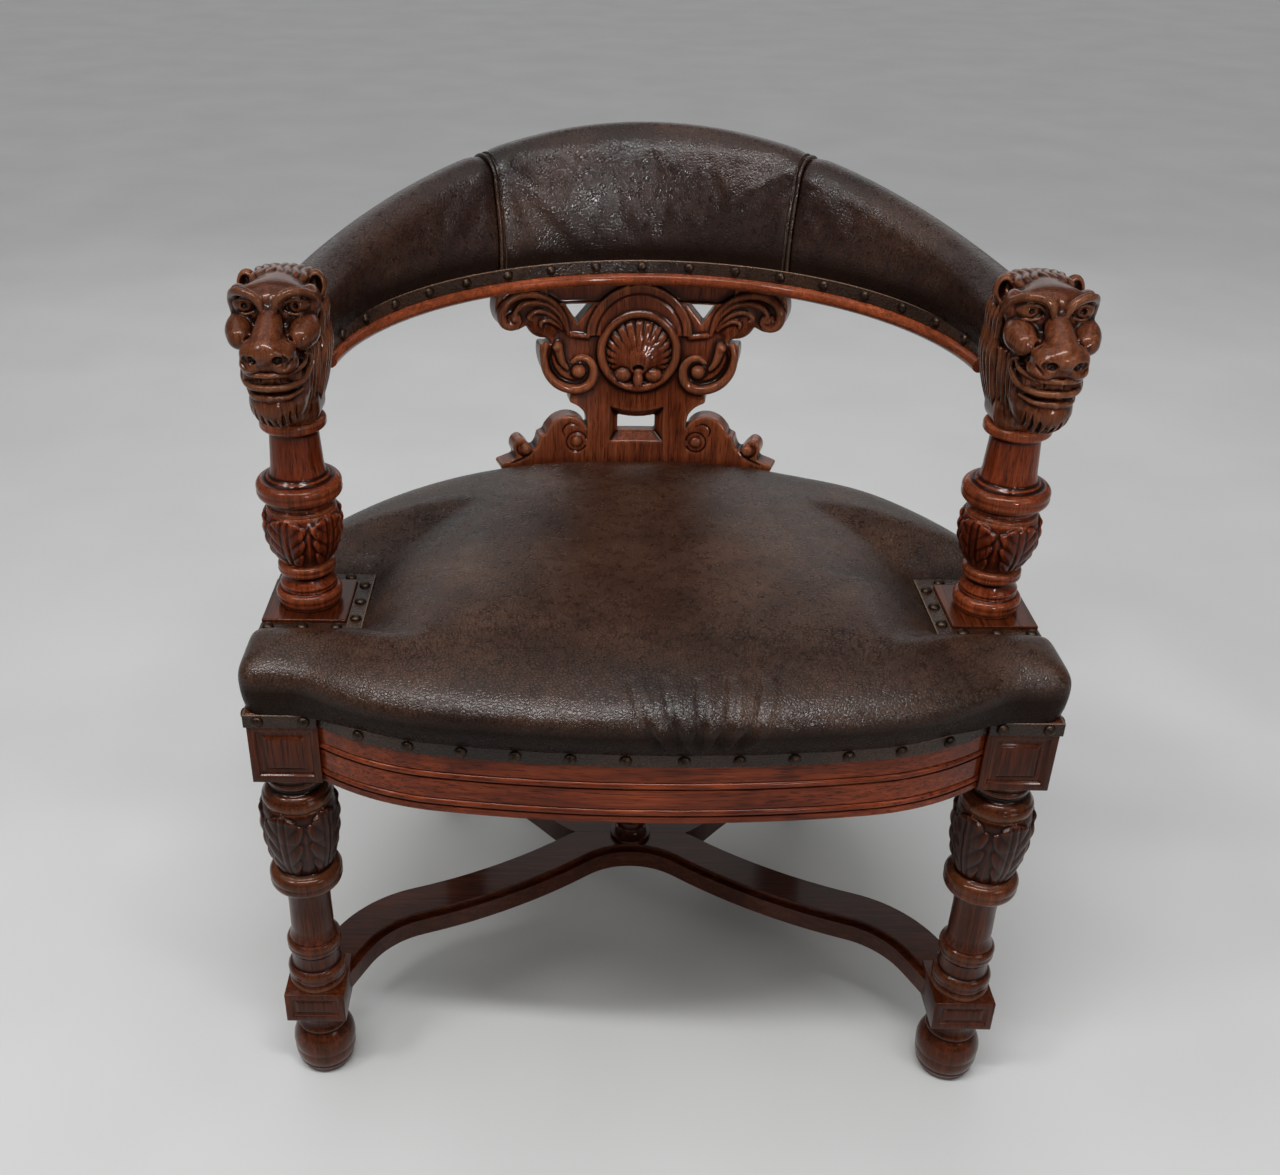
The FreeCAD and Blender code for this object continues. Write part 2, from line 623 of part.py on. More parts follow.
def make_head():
    """Lion head: skull and muzzle in one lofted form, with neck, ears and cheeks."""
    face_z = POST_TOP + HEAD_HEIGHT / 2 + NECK_HEIGHT * 0.7
    muzzle_z = POST_TOP + MUZZLE_HEIGHT / 2 + NECK_HEIGHT * 0.85
    face_y = POST_Y - FACE_FRONT
    front_y = POST_Y - HEAD_FRONT
    frames = [
        (HEAD_BACK_Y, face_z, HEAD_WIDTH * 0.92, HEAD_HEIGHT * 0.92),
        (POST_Y + HEAD_BACK * 0.3, face_z, HEAD_WIDTH, HEAD_HEIGHT),
        (POST_Y - FACE_FRONT * 0.5, face_z, HEAD_WIDTH * 0.95, HEAD_HEIGHT),
        (face_y, face_z, HEAD_WIDTH * 0.84, HEAD_HEIGHT * 0.9),
        (face_y * 0.7 + front_y * 0.3, muzzle_z, MUZZLE_WIDTH * 1.1, MUZZLE_HEIGHT * 1.12),
        (face_y * 0.3 + front_y * 0.7, muzzle_z, MUZZLE_WIDTH, MUZZLE_HEIGHT),
        (front_y, muzzle_z, MUZZLE_WIDTH * 0.8, MUZZLE_HEIGHT * 0.66)]
    wires = [rounded_frame(POST_X, y, z, w, h, 0.36 * min(w, h)) for y, z, w, h in frames]
    form = [Part.makeLoft(wires, True, True)]
    form.append(Part.makeCylinder(NECK_DIA / 2, NECK_HEIGHT + HEAD_HEIGHT / 4, vec(POST_X, POST_Y, POST_TOP)))
    for side in (-1, 1):
        ear = vec(POST_X + side * EAR_SPREAD, POST_Y + HEAD_BACK * 0.5, face_z + HEAD_HEIGHT / 2 - EAR_DIA * 0.5)
        cheek = vec(POST_X + side * CHEEK_SPREAD, face_y, muzzle_z + MUZZLE_HEIGHT * 0.44)
        form.append(Part.makeSphere(EAR_DIA / 2, ear))
        form.append(Part.makeSphere(CHEEK_DIA / 2, cheek))
    spigot_hole = Part.makeCylinder(POST_SPIGOT_DIA / 2 + JOINT_FIT, POST_SPIGOT_LENGTH + JOINT_FIT,
                                    vec(POST_X, POST_Y, POST_TOP))
    return merged(form).cut(spigot_hole)


def behind_heads():
    """Everything behind the plane where the heads meet the rail."""
    return box(-FAR, FAR, HEAD_BACK_Y, FAR, 0, FAR)


def ring_band(r_in, r_out, z, height):
    """Round band about the arm rail's centre, from head to head."""
    centre = vec(0, RAIL_CY, z)
    ring = Part.makeCylinder(r_out, height, centre).cut(Part.makeCylinder(r_in, height, centre))
    return ring.common(behind_heads())


def make_arm_rail():
    """Right half of the horseshoe rail, with the bead along its inner edge."""
    rail = ring_band(RAIL_IN, RAIL_OUT, RAIL_BASE, ARM_RAIL_HEIGHT)
    bead_r = BEAD_DIA / 2
    bead = Part.makeTorus(RAIL_IN - BEAD_PROUD + bead_r, bead_r, vec(0, RAIL_CY, RAIL_TOP - bead_r))
    rail = merged([rail, bead.common(behind_heads())])
    return rail.common(box(0, FAR, -FAR, FAR, 0, FAR))


def pad_frame(angle, inset):
    """Section of the rail pad at an angle from the back's middle, drawn in by inset."""
    turn = math.radians(angle)
    back = math.cos(turn) ** 2
    r0 = RAIL_IN + PAD_INSET + inset
    r1 = RAIL_OUT - PAD_INSET - inset
    z0 = RAIL_TOP
    z_gimp = z0 + GIMP_WIDTH
    crest = z0 + PAD_END_HEIGHT + (PAD_BACK_HEIGHT - PAD_END_HEIGHT) * back - inset
    middle = (RAIL_IN + RAIL_OUT) / 2 + PAD_LEAN * back
    roll = PAD_ROLL - inset
    shoulder = crest - roll * 0.8
    swell = 0.4 + 0.6 * back
    side_z = (z_gimp + shoulder) / 2
    marks = {
        "in_foot": (r0, z0),
        "in_gimp": (r0, z_gimp),
        "in_side": ((r0 + middle - roll) / 2 - PAD_SWELL_IN * swell, side_z),
        "in_top": (middle - roll, shoulder),
        "crest": (middle, crest),
        "out_top": (middle + roll, shoulder),
        "out_side": ((r1 + middle + roll) / 2 + PAD_SWELL_OUT * swell, side_z),
        "out_gimp": (r1, z_gimp),
        "out_foot": (r1, z0)}
    at = {k: vec(r * math.sin(turn), RAIL_CY + r * math.cos(turn), z) for k, (r, z) in marks.items()}
    return Part.Wire([
        Part.makeLine(at["in_foot"], at["in_gimp"]),
        Part.Arc(at["in_gimp"], at["in_side"], at["in_top"]).toShape(),
        Part.Arc(at["in_top"], at["crest"], at["out_top"]).toShape(),
        Part.Arc(at["out_top"], at["out_side"], at["out_gimp"]).toShape(),
        Part.makeLine(at["out_gimp"], at["out_foot"]),
        Part.makeLine(at["out_foot"], at["in_foot"])])


def make_pad(first, last):
    """Leather cover and stuffing between two angles."""
    step = (last - first) / 4
    angles = [first + step * i for i in range(5)]
    cover = Part.makeLoft([pad_frame(a, 0.0) for a in angles], True, False)
    core = Part.makeLoft([pad_frame(a, LEATHER) for a in angles], True, False)
    behind = behind_heads()
    return cover.cut(core).common(behind), core.common(behind)


def make_welt():
    """Raised seam over the right-hand joint of the rail covers."""
    turn = math.radians(SEAM_ANGLE)
    across = vec(math.cos(turn), -math.sin(turn)) * WELT_DIA
    rim = Part.Face(pad_frame(SEAM_ANGLE, -WELT_DIA * 0.7)).cut(Part.Face(pad_frame(SEAM_ANGLE, -WELT_DIA * 0.18)))
    rim = rim.common(box(-FAR, FAR, -FAR, FAR, RAIL_TOP + GIMP_WIDTH, FAR))
    welt = rim.extrude(across)
    return welt.translated(across * -0.5).Solids[0]


def splat_at(across, up):
    """Place on the splat as shares of its half width and of its height over the seat frame."""
    return across * SPLAT_HALF_WIDTH, up * (RAIL_BASE - FRAME_TOP)


def splat_outline():
    """Half outline of the splat in its own plane, from the foot up: brackets, neck, scrolls."""
    foot = SPLAT_FOOT_HALF / SPLAT_HALF_WIDTH
    neck = SPLAT_NECK_HALF / SPLAT_HALF_WIDTH
    spare = SPLAT_SPARE / (RAIL_BASE - FRAME_TOP)
    steps = [
        ((foot, -spare),),
        ((foot, 0.132),),
        ((0.811, 0.157),),
        ((0.817, 0.238), (0.718, 0.226)),
        ((0.625, 0.272),),
        ((0.558, 0.349), (0.445, 0.370)),
        ((0.385, 0.366), (neck, 0.345)),
        ((neck, 0.379),),
        ((0.392, 0.426), (0.465, 0.447)),
        ((0.465, 0.489),),
        ((0.638, 0.549), (0.704, 0.668)),
        ((0.691, 0.719),),
        ((0.698, 0.770), (0.764, 0.821)),
        ((0.870, 0.774), (0.977, 0.821)),
        ((1.0, 0.881), (0.977, 0.949)),
        ((0.977, 1.0 + spare),),
        ((0.0, 1.0 + spare),)]
    return [[splat_at(*p) for p in step] for step in steps]


def upright_face(steps):
    """Face in the XZ plane from a half outline that starts and ends on the middle line."""
    here = vec(0, 0, FRAME_TOP - SPLAT_SPARE)
    edges = []
    for step in steps:
        marks = [vec(x, 0, FRAME_TOP + z) for x, z in step]
        if len(marks) == 2:
            edges.append(Part.Arc(here, marks[0], marks[1]).toShape())
        else:
            edges.append(Part.makeLine(here, marks[0]))
        here = marks[-1]
    return Part.Face(Part.Wire(Part.__sortEdges__(edges + [mirrored(e) for e in edges])))


def splat_shell(front, back):
    """Curved layer of the splat between two distances from its front face."""
    face_r = SPLAT_Y - SPLAT_THICK / 2 - SPLAT_CURVE_Y
    centre = vec(0, SPLAT_CURVE_Y, 0)
    return Part.makeCylinder(face_r + back, FAR, centre).cut(Part.makeCylinder(face_r + front, FAR, centre))


def make_splat():
    """Curved, pierced splat with the raised ring that holds the shell."""
    through = vec(0, 4 * BACK_RADIUS)
    plate = upright_face(splat_outline()).extrude(through)
    shell_z = RAIL_BASE - SHELL_DROP
    for side in (-1, 1):
        corners = [splat_at(*p) for p in ((0.326, 0.906), (0.518, 0.906), (0.452, 0.817))]
        hole = polygon([(side * x, 0, FRAME_TOP + z) for x, z in corners])
        plate = plate.cut(Part.Face(hole).extrude(through))
    window_z = FRAME_TOP + WINDOW_BOTTOM
    plate = plate.cut(box(-WINDOW_HALF, WINDOW_HALF, 0, FAR, window_z, window_z + WINDOW_HEIGHT))
    plate = plate.common(splat_shell(0, SPLAT_THICK))
    ring = Part.makeCylinder(SHELL_RING_DIA / 2, FAR, vec(0, 0, shell_z), vec(0, 1))
    ring = ring.cut(Part.makeCylinder(SHELL_RING_BORE / 2, FAR, vec(0, 0, shell_z), vec(0, 1)))
    ring = ring.common(splat_shell(-SHELL_RING_PROUD, SPLAT_THICK / 2))
    return merged([plate, ring])


def make_gimp(legs):
    """Leather strip along the top of the seat frame: front, leg blocks, sides and back."""
    z = FRAME_TOP - GIMP_WIDTH
    t = GIMP_THICK
    past_block = BLOCK_IN_X + TENON_LENGTH / 2
    between = box(-BLOCK_IN_X, BLOCK_IN_X, -FAR, FAR, 0, FAR)
    strips = [band(front_bow(BOW_Y, past_block), 0.0, t, z, GIMP_WIDTH).common(between)]
    outer_x = BLOCK_IN_X + LEG_BLOCK
    corner = merged([box(BLOCK_IN_X, outer_x + t, BLOCK_FRONT_Y - t, BLOCK_FRONT_Y, z, FRAME_TOP),
                     box(outer_x, outer_x + t, BLOCK_FRONT_Y - t, BLOCK_BACK_Y, z, FRAME_TOP)])
    rows = from_back(side_and_back(SIDE_X, BACK_Y, BLOCK_BACK_Y))
    strips += [corner, mirrored(corner)]
    strips += band(rows, 0.0, t, z, GIMP_WIDTH).cut(Part.makeCompound(legs)).Solids
    return Part.makeCompound(strips)


def both(shape):
    return [mirrored(shape), shape]


def make_seat_nails():
    """Domed nails on the seat strip, evenly spaced between the leg blocks and round the back."""
    z = FRAME_TOP - GIMP_WIDTH / 2
    rim = GIMP_THICK
    nails = []
    for x, y, way in places_along(front_bow(BOW_Y, BLOCK_IN_X), rim, NAIL_PITCH, NAIL_PITCH / 2):
        nails += both(nail(x, y, z, way))
    outer_x = BLOCK_IN_X + LEG_BLOCK
    for step in (-1, 1):
        place = step * (LEG_BLOCK / 2 - NAIL_DIA)
        nails += both(nail(LEG_X + place, BLOCK_FRONT_Y - rim, z, (0, -1, 0)))
        nails += both(nail(outer_x + rim, LEG_Y + place, z, (1, 0, 0)))
    for x, y, way in places_along(side_and_back(SIDE_X, BACK_Y, BLOCK_BACK_Y), rim, NAIL_PITCH, NAIL_PITCH / 2):
        if math.hypot(x - REAR_LEG_X, y - REAR_LEG_Y) > REAR_LEG_TOP:
            nails += both(nail(x, y, z, way))
    return Part.makeCompound(nails)


def make_rail_nails():
    """Domed nails inside and outside along the strip of the arm rail."""
    z = RAIL_TOP + GIMP_WIDTH / 2
    nails = []
    for radius, facing in ((RAIL_IN + PAD_INSET - GIMP_THICK, -1), (RAIL_OUT - PAD_INSET + GIMP_THICK, 1)):
        end = math.acos((HEAD_BACK_Y - RAIL_CY + NAIL_DIA) / radius)
        count = round(2 * radius * end / NAIL_PITCH)
        for i in range(count):
            turn = -end + 2 * end * (i + 0.5) / count
            way = vec(math.sin(turn) * facing, math.cos(turn) * facing)
            nails.append(nail(radius * math.sin(turn), RAIL_CY + radius * math.cos(turn), z, way))
    return Part.makeCompound(nails)


def seat_plan():
    """Half plan of the seat pad at its fullest, from the middle of the front round to the back."""
    apex_y = BOW_Y - SEAT_OVERHANG
    block_y = BLOCK_FRONT_Y - SEAT_SIDE_OVERHANG
    side_x = BLOCK_IN_X + LEG_BLOCK + SEAT_SIDE_OVERHANG
    sweep = math.asin(BOW_SHOULDER_X / BOW_RADIUS)
    cx = (BOW_RADIUS - SHOULDER_RADIUS) * math.sin(sweep)
    cy = apex_y + BOW_RADIUS - (BOW_RADIUS - SHOULDER_RADIUS) * math.cos(sweep)
    reach = SHOULDER_RADIUS + SEAT_SWAGE
    turn = math.acos((cy - block_y + SEAT_SWAGE) / reach)
    front_run = side_x - SEAT_CORNER - cx - reach * math.sin(turn)
    front = walk((0, apex_y), 0.0, [
        (BOW_RADIUS, math.degrees(sweep)),
        (SHOULDER_RADIUS, math.degrees(turn - sweep)),
        (SEAT_SWAGE, -math.degrees(turn)),
        (front_run,),
        (SEAT_CORNER, 90.0)])
    return front + side_and_back(side_x, BACK_Y + SEAT_SIDE_OVERHANG, block_y + SEAT_CORNER)


def seat_wire(inset, scale, z):
    """Closed plan of the seat pad, drawn in by inset and shrunk about the seat's middle."""
    middle = vec(0, (BOW_Y + BACK_Y) / 2, z)
    edges = both_sides(chain_edges(seat_plan(), -inset, z))
    return Part.Wire(Part.__sortEdges__(edges)).scaled(scale, middle)


def seat_form(inset, drop):
    """Crowned seat pad with a rolled edge, drawn in all over by inset, its foot lowered by drop."""
    levels = [
        (0.0, 1.0, 1.0),
        (0.09, 0.45, 1.0),
        (0.2, 0.12, 1.0),
        (0.34, 0.0, 1.0),
        (0.48, 0.1, 1.0),
        (0.59, 0.42, 1.0),
        (0.67, 0.95, 1.0),
        (0.77, 1.0, 0.94),
        (0.86, 1.0, 0.84),
        (0.93, 1.0, 0.71),
        (0.975, 1.0, 0.57),
        (1.0, 1.0, 0.4)]
    wires = []
    for level, draw, scale in levels:
        z = FRAME_TOP + SEAT_RISE * level - (inset if level > 0 else drop)
        wires.append(seat_wire(SEAT_TUCK * draw + inset, scale, z))
    return Part.makeLoft(wires, True, True)


def plinth_square(grow, z0, z1, flare):
    """Square prism about the right-hand plinth that may widen upwards."""
    wires = []
    for z, size in ((z0, PLINTH / 2 + grow), (z1, PLINTH / 2 + grow + flare)):
        wires.append(polygon([(POST_X - size, POST_Y - size, z), (POST_X + size, POST_Y - size, z),
                              (POST_X + size, POST_Y + size, z), (POST_X - size, POST_Y + size, z)]))
    return Part.makeLoft(wires, True, True)


def seat_cutter(inset):
    """What the seat pad leaves free: plinths with their strip, and the foot of the splat."""
    recess_z = PLINTH_TOP - PLINTH_STRIP_DROP - inset
    half = PLINTH / 2 + SOFT_GAP + inset
    free = [
        plinth_square(PLINTH_STRIP + inset, recess_z, recess_z + RECESS_RISE, RECESS_FLARE),
        box(POST_X - half, FAR, POST_Y - half, POST_Y + half, 0, FAR)]
    face_r = SPLAT_Y - SPLAT_THICK / 2 - SPLAT_CURVE_Y - SOFT_GAP - inset
    foot = SPLAT_FOOT_HALF + SOFT_GAP + inset
    behind = box(-foot, foot, SPLAT_Y - 2 * SPLAT_THICK, FAR, 0, FAR)
    behind = behind.cut(Part.makeCylinder(face_r, FAR, vec(0, SPLAT_CURVE_Y, 0)))
    return [merged(free), mirrored(merged(free)), behind]


def make_seat():
    """Leather cover, stuffing, hessian and webbing of the seat, top to bottom."""
    outer = seat_form(0.0, 0.0).cut(seat_cutter(0.0))
    core = seat_form(LEATHER, LEATHER).cut(seat_cutter(LEATHER))
    hessian_z = FRAME_TOP + 2 * WEB_THICK
    leather = outer.cut(core)
    stuffing = core.common(box(-FAR, FAR, -FAR, FAR, hessian_z + HESSIAN, FAR))
    edge = SEAT_TUCK + LEATHER + SOFT_GAP
    sheet = extruded(seat_wire(edge, 1.0, FRAME_TOP), 2 * WEB_THICK + HESSIAN)
    sheet = sheet.cut(seat_cutter(LEATHER))
    hessian = sheet.common(box(-FAR, FAR, -FAR, FAR, hessian_z, FAR))
    straps = []
    pitch = WEB_WIDTH + WEB_GAP
    across = int((POST_X - PLINTH / 2) / pitch)
    for i in range(-across, across + 1):
        x = i * pitch - WEB_WIDTH / 2
        straps.append(box(x, x + WEB_WIDTH, -FAR, FAR, FRAME_TOP + WEB_THICK, hessian_z))
    first_y = POST_Y + PLINTH / 2 + WEB_GAP / 2
    rows = int((SPLAT_Y - SPLAT_THICK - first_y) / pitch)
    starts = [first_y + i * pitch for i in range(rows)] + [POST_Y - PLINTH / 2 - WEB_GAP / 2 - WEB_WIDTH]
    for y in starts:
        straps.append(box(-FAR, FAR, y, y + WEB_WIDTH, FRAME_TOP, FRAME_TOP + WEB_THICK))
    webbing = Part.makeCompound([s for strap in straps for s in sheet.common(strap).Solids])
    return leather, stuffing, hessian, webbing


def make_plinth_strip():
    """Leather strip on the seat along three sides of the right-hand plinth."""
    z = PLINTH_TOP - PLINTH_STRIP_DROP
    strip = plinth_square(PLINTH_STRIP - SOFT_GAP, z, z + GIMP_THICK, 0.0)
    half = PLINTH / 2 + SOFT_GAP
    return strip.cut(box(POST_X - half, FAR, POST_Y - half, POST_Y + half, 0, FAR)).common(
        box(0, POST_X + half, -FAR, FAR, 0, FAR))


def make_plinth_nails():
    """Nails along the strips round the plinths, three to a side."""
    z = PLINTH_TOP - PLINTH_STRIP_DROP + GIMP_THICK
    out = PLINTH / 2 + PLINTH_STRIP / 2
    nails = []
    for step in (-1, 0, 1):
        place = step * PLINTH * 0.4
        nails += both(nail(POST_X - out, POST_Y + place, z, (0, 0, 1)))
        nails += both(nail(POST_X + place, POST_Y - out, z, (0, 0, 1)))
        nails += both(nail(POST_X + place, POST_Y + out, z, (0, 0, 1)))
    return Part.makeCompound(nails)


def make_corner_block(front_rail):
    """Bracket in the right-hand front corner, between the rails and against the leg."""
    inner_x = SIDE_X - RAIL_THICK
    reach = CORNER_BLOCK_REACH
    z = FRAME_BOTTOM + CORNER_BLOCK_RISE
    plan = polygon([
        (inner_x, BLOCK_BACK_Y + reach, z), (inner_x, BLOCK_BACK_Y, z), (BLOCK_IN_X, BLOCK_BACK_Y, z),
        (BLOCK_IN_X, BLOCK_FRONT_Y, z), (BLOCK_IN_X - reach, BLOCK_FRONT_Y, z)])
    parts = extruded(plan, CORNER_BLOCK_HEIGHT).cut(front_rail).Solids
    return max(parts, key=lambda s: s.Volume)


def corner_screws():
    """Screws through the right-hand corner block into the leg, square to its slanted face."""
    inner_x = SIDE_X - RAIL_THICK
    start = vec(BLOCK_IN_X - CORNER_BLOCK_REACH, BLOCK_FRONT_Y)
    slope = vec(inner_x, BLOCK_BACK_Y + CORNER_BLOCK_REACH) - start
    way = vec(slope.y, -slope.x)
    way.normalize()
    corner = vec(BLOCK_IN_X, BLOCK_BACK_Y)
    along = slope.dot(corner - start) / slope.dot(slope)
    seat = start + slope * along
    screws = []
    for share in (0.25, 0.75):
        z = FRAME_BOTTOM + CORNER_BLOCK_RISE + CORNER_BLOCK_HEIGHT * share
        base = vec(seat.x, seat.y, z)
        bore = Part.makeCylinder(SCREW_DIA / 2 + JOINT_FIT, SCREW_LENGTH + JOINT_FIT, base, way)
        for side, cutter in (("right", bore), ("left", mirrored(bore))):
            pieces["leg_front_" + side] = pieces["leg_front_" + side].cut(cutter)
            pieces["corner_block_" + side] = pieces["corner_block_" + side].cut(cutter)
        shank = Part.makeCylinder(SCREW_DIA / 2, SCREW_LENGTH, base, way)
        head = Part.makeCylinder(SCREW_HEAD_DIA / 2, SCREW_HEAD_RISE, base - way * SCREW_HEAD_RISE, way)
        screws += both(merged([shank, head]))
    return Part.makeCompound(screws)


def mirrored_plugs(names, radius, length, centre, direction):
    """The same dowel on the right and on the left; {side} in a name stands for the hand."""
    dowels = []
    for side, sign in (("right", 1), ("left", -1)):
        own = [n.format(side=side) for n in names]
        dowels.append(plug(own, radius, length, (sign * centre[0], centre[1], centre[2]),
                           (sign * direction[0], direction[1], direction[2])))
    return dowels


def pair(name, shape):
    """Put a right-hand piece and its mirror image in the model."""
    pieces[name + "_right"] = shape
    pieces[name + "_left"] = mirrored(shape)


def build_frame():
    legs = make_rear_leg()
    front_leg = make_front_leg().cut(front_tenon()).cut(side_tenon())
    pair("leg_front", front_leg)
    pair("leg_rear", legs)
    pieces["front_rail"] = make_front_rail()
    left, rear, right = make_ring(both(legs))
    pieces["side_rail_left"] = left
    pieces["side_rail_right"] = right
    pieces["rear_rail"] = rear
    pair("corner_block", make_corner_block(pieces["front_rail"]))
    half = PLINTH / 2
    y0 = POST_Y - half
    y1 = POST_Y + half
    cleat = box(POST_X - half, SIDE_X - RAIL_THICK, y0, y1, FRAME_TOP - CLEAT_HEIGHT, FRAME_TOP)
    pair("plinth_cleat", cleat.cut(pieces["side_rail_right"]))
    plinth = box(POST_X - half, POST_X + half, y0, y1, FRAME_TOP, PLINTH_TOP)
    hole = Part.makeCylinder(POST_TENON_DIA / 2 + JOINT_FIT, POST_TENON_LENGTH + JOINT_FIT,
                             vec(POST_X, POST_Y, PLINTH_TOP), vec(0, 0, -1))
    pair("arm_plinth", plinth.cut(hole))
    leg_z = STRETCHER_BOTTOM + STRETCHER_THICK / 2
    rear_x, rear_y = rear_leg_axis(leg_z)
    start_y = CROSS_Y - CROSS_LAP
    front_steps = yoke_steps(YOKE_BEND, FRONT_YOKE_BEND, FRONT_YOKE_TURNS, LEG_X, start_y - LEG_Y)
    rear_steps = yoke_steps(YOKE_BEND, REAR_YOKE_BEND, REAR_YOKE_TURNS, rear_x, rear_y - CROSS_Y - CROSS_LAP)
    pieces["stretcher_front_yoke"] = make_yoke(front_steps).cut(Part.makeCompound(both(front_leg)))
    rear_yoke = make_yoke(rear_steps).mirror(vec(0, CROSS_Y), vec(0, 1))
    pieces["stretcher_rear_yoke"] = rear_yoke.cut(Part.makeCompound(both(legs)))
    pieces["stretcher_finial"] = make_finial()
    spigot = Part.makeCylinder(FINIAL_SPIGOT / 2 + JOINT_FIT, FINIAL_SPIGOT_LENGTH + JOINT_FIT,
                               vec(0, CROSS_Y, STRETCHER_TOP), vec(0, 0, -1))
    for name in ("stretcher_front_yoke", "stretcher_rear_yoke"):
        pieces[name] = pieces[name].cut(spigot)


def build_arms():
    pair("arm_post", make_post())
    pair("lion_head", make_head())
    pair("arm_rail", make_arm_rail())
    lean = make_splat().rotate(vec(0, SPLAT_Y, FRAME_TOP), vec(1, 0, 0), -SPLAT_LEAN)
    pieces["back_splat"] = lean.common(box(-FAR, FAR, -FAR, FAR, FRAME_TOP, RAIL_BASE))


def build_fixings():
    pieces["corner_block_screws"] = corner_screws()
    radius = DOWEL_DIA / 2
    thin = THIN_DOWEL_DIA / 2
    frame_z = (FRAME_BOTTOM + FRAME_TOP) / 2
    leg_z = STRETCHER_BOTTOM + STRETCHER_THICK / 2
    way = vec(SIDE_CY - REAR_LEG_Y, REAR_LEG_X - SIDE_CX)
    way.normalize()
    face = REAR_LEG_TOP / 2 / abs(way.x)
    frame = mirrored_plugs(["leg_rear_{side}", "rear_rail"], radius, DOWEL_LENGTH,
                           (REAR_LEG_X + way.x * face, REAR_LEG_Y + way.y * face, frame_z), (way.x, way.y, 0))
    frame += mirrored_plugs(["leg_rear_{side}", "side_rail_{side}"], radius, DOWEL_LENGTH,
                            (REAR_LEG_X - way.x * face, REAR_LEG_Y - way.y * face, frame_z), (way.x, way.y, 0))
    pieces["seat_frame_dowels"] = Part.makeCompound(frame)
    turn = math.radians(FRONT_YOKE_TURNS[2])
    run = LOW_BLOCK / 2 / math.sin(turn)
    yokes = mirrored_plugs(["leg_front_{side}", "stretcher_front_yoke"], radius, DOWEL_LENGTH,
                           (LEG_X - run * math.cos(turn), LEG_Y + run * math.sin(turn), leg_z),
                           (math.cos(turn), -math.sin(turn), 0))
    turn = math.radians(REAR_YOKE_TURNS[2])
    rear_x, rear_y = rear_leg_axis(leg_z)
    run = REAR_FOOT / 2 / math.sin(turn)
    yokes += mirrored_plugs(["leg_rear_{side}", "stretcher_rear_yoke"], radius, DOWEL_LENGTH / 2,
                            (rear_x - run * math.cos(turn), rear_y - run * math.sin(turn), leg_z),
                            (math.cos(turn), math.sin(turn), 0))
    yokes += mirrored_plugs(["stretcher_front_yoke", "stretcher_rear_yoke"], thin, STRETCHER_WIDTH * 0.8,
                            (STRETCHER_WIDTH * 0.7, CROSS_Y, leg_z), (0, 1, 0))
    pieces["stretcher_dowels"] = Part.makeCompound(yokes)
    rail_z = (RAIL_BASE + RAIL_TOP) / 2
    rails = mirrored_plugs(["lion_head_{side}", "arm_rail_{side}"], thin, DOWEL_LENGTH,
                           (POST_X, HEAD_BACK_Y, rail_z), (0, 1, 0))
    for r in (POST_X - ARM_RAIL_WIDTH / 4, POST_X + ARM_RAIL_WIDTH / 4):
        rails.append(plug(["arm_rail_left", "arm_rail_right"], thin, DOWEL_LENGTH,
                          (0, RAIL_CY + r, rail_z), (1, 0, 0)))
    pieces["arm_rail_dowels"] = Part.makeCompound(rails)
    splat = mirrored_plugs(["back_splat", "rear_rail"], radius, DOWEL_LENGTH,
                           (SPLAT_NECK_HALF * 0.66, SPLAT_Y, FRAME_TOP), (0, 0, 1))
    rise = (RAIL_BASE - FRAME_TOP) * math.tan(math.radians(SPLAT_LEAN))
    far_x = SPLAT_HALF_WIDTH * 0.83
    bow = (SPLAT_Y - SPLAT_CURVE_Y) - math.sqrt((SPLAT_Y - SPLAT_CURVE_Y) ** 2 - far_x ** 2)
    splat += mirrored_plugs(["back_splat", "arm_rail_{side}"], thin, ARM_RAIL_HEIGHT * 1.2,
                            (far_x, SPLAT_Y + rise - bow, RAIL_BASE), (0, 0, 1))
    pieces["splat_dowels"] = Part.makeCompound(splat)


def build_upholstery():
    legs = [pieces["leg_rear_left"], pieces["leg_rear_right"]]
    leather, stuffing, hessian, webbing = make_seat()
    pieces["seat_leather"] = leather
    pieces["seat_stuffing"] = stuffing
    pieces["seat_hessian"] = hessian
    pieces["seat_webbing"] = webbing
    pieces["seat_gimp"] = make_gimp(legs)
    pieces["seat_nails"] = make_seat_nails()
    pair("plinth_strip", make_plinth_strip())
    pieces["plinth_nails"] = make_plinth_nails()
    cover, core = make_pad(-SEAM_ANGLE, SEAM_ANGLE)
    pieces["backrest_cover"] = cover
    pieces["backrest_stuffing"] = core
    cover, core = make_pad(SEAM_ANGLE, 90.0)
    pair("armrest_cover", cover)
    pair("armrest_stuffing", core)
    pieces["cover_welts"] = Part.makeCompound(both(make_welt()))
    inner = RAIL_IN + PAD_INSET
    outer = RAIL_OUT - PAD_INSET
    pieces["rail_gimp_inner"] = ring_band(inner - GIMP_THICK, inner, RAIL_TOP, GIMP_WIDTH)
    pieces["rail_gimp_outer"] = ring_band(outer, outer + GIMP_THICK, RAIL_TOP, GIMP_WIDTH)
    pieces["rail_nails"] = make_rail_nails()


build_frame()
build_arms()
build_fixings()
build_upholstery()

os.makedirs("parts", exist_ok=True)
for name, shape in sorted(pieces.items()):
    print(name, len(shape.Solids), shape.isValid(), round(shape.Volume / 1000, 1))
    shape.exportStep(os.path.join("parts", name + ".step"))
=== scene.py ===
"""Looks of a carved oak library armchair with lion-head arms and dark leather upholstery.

Pieces are drawn in millimetres in the part's frame: +Z up, the sitter faces -Y, left is -X.
"""

import math

import bmesh
import bpy
import numpy as np
from mathutils import Matrix, Vector


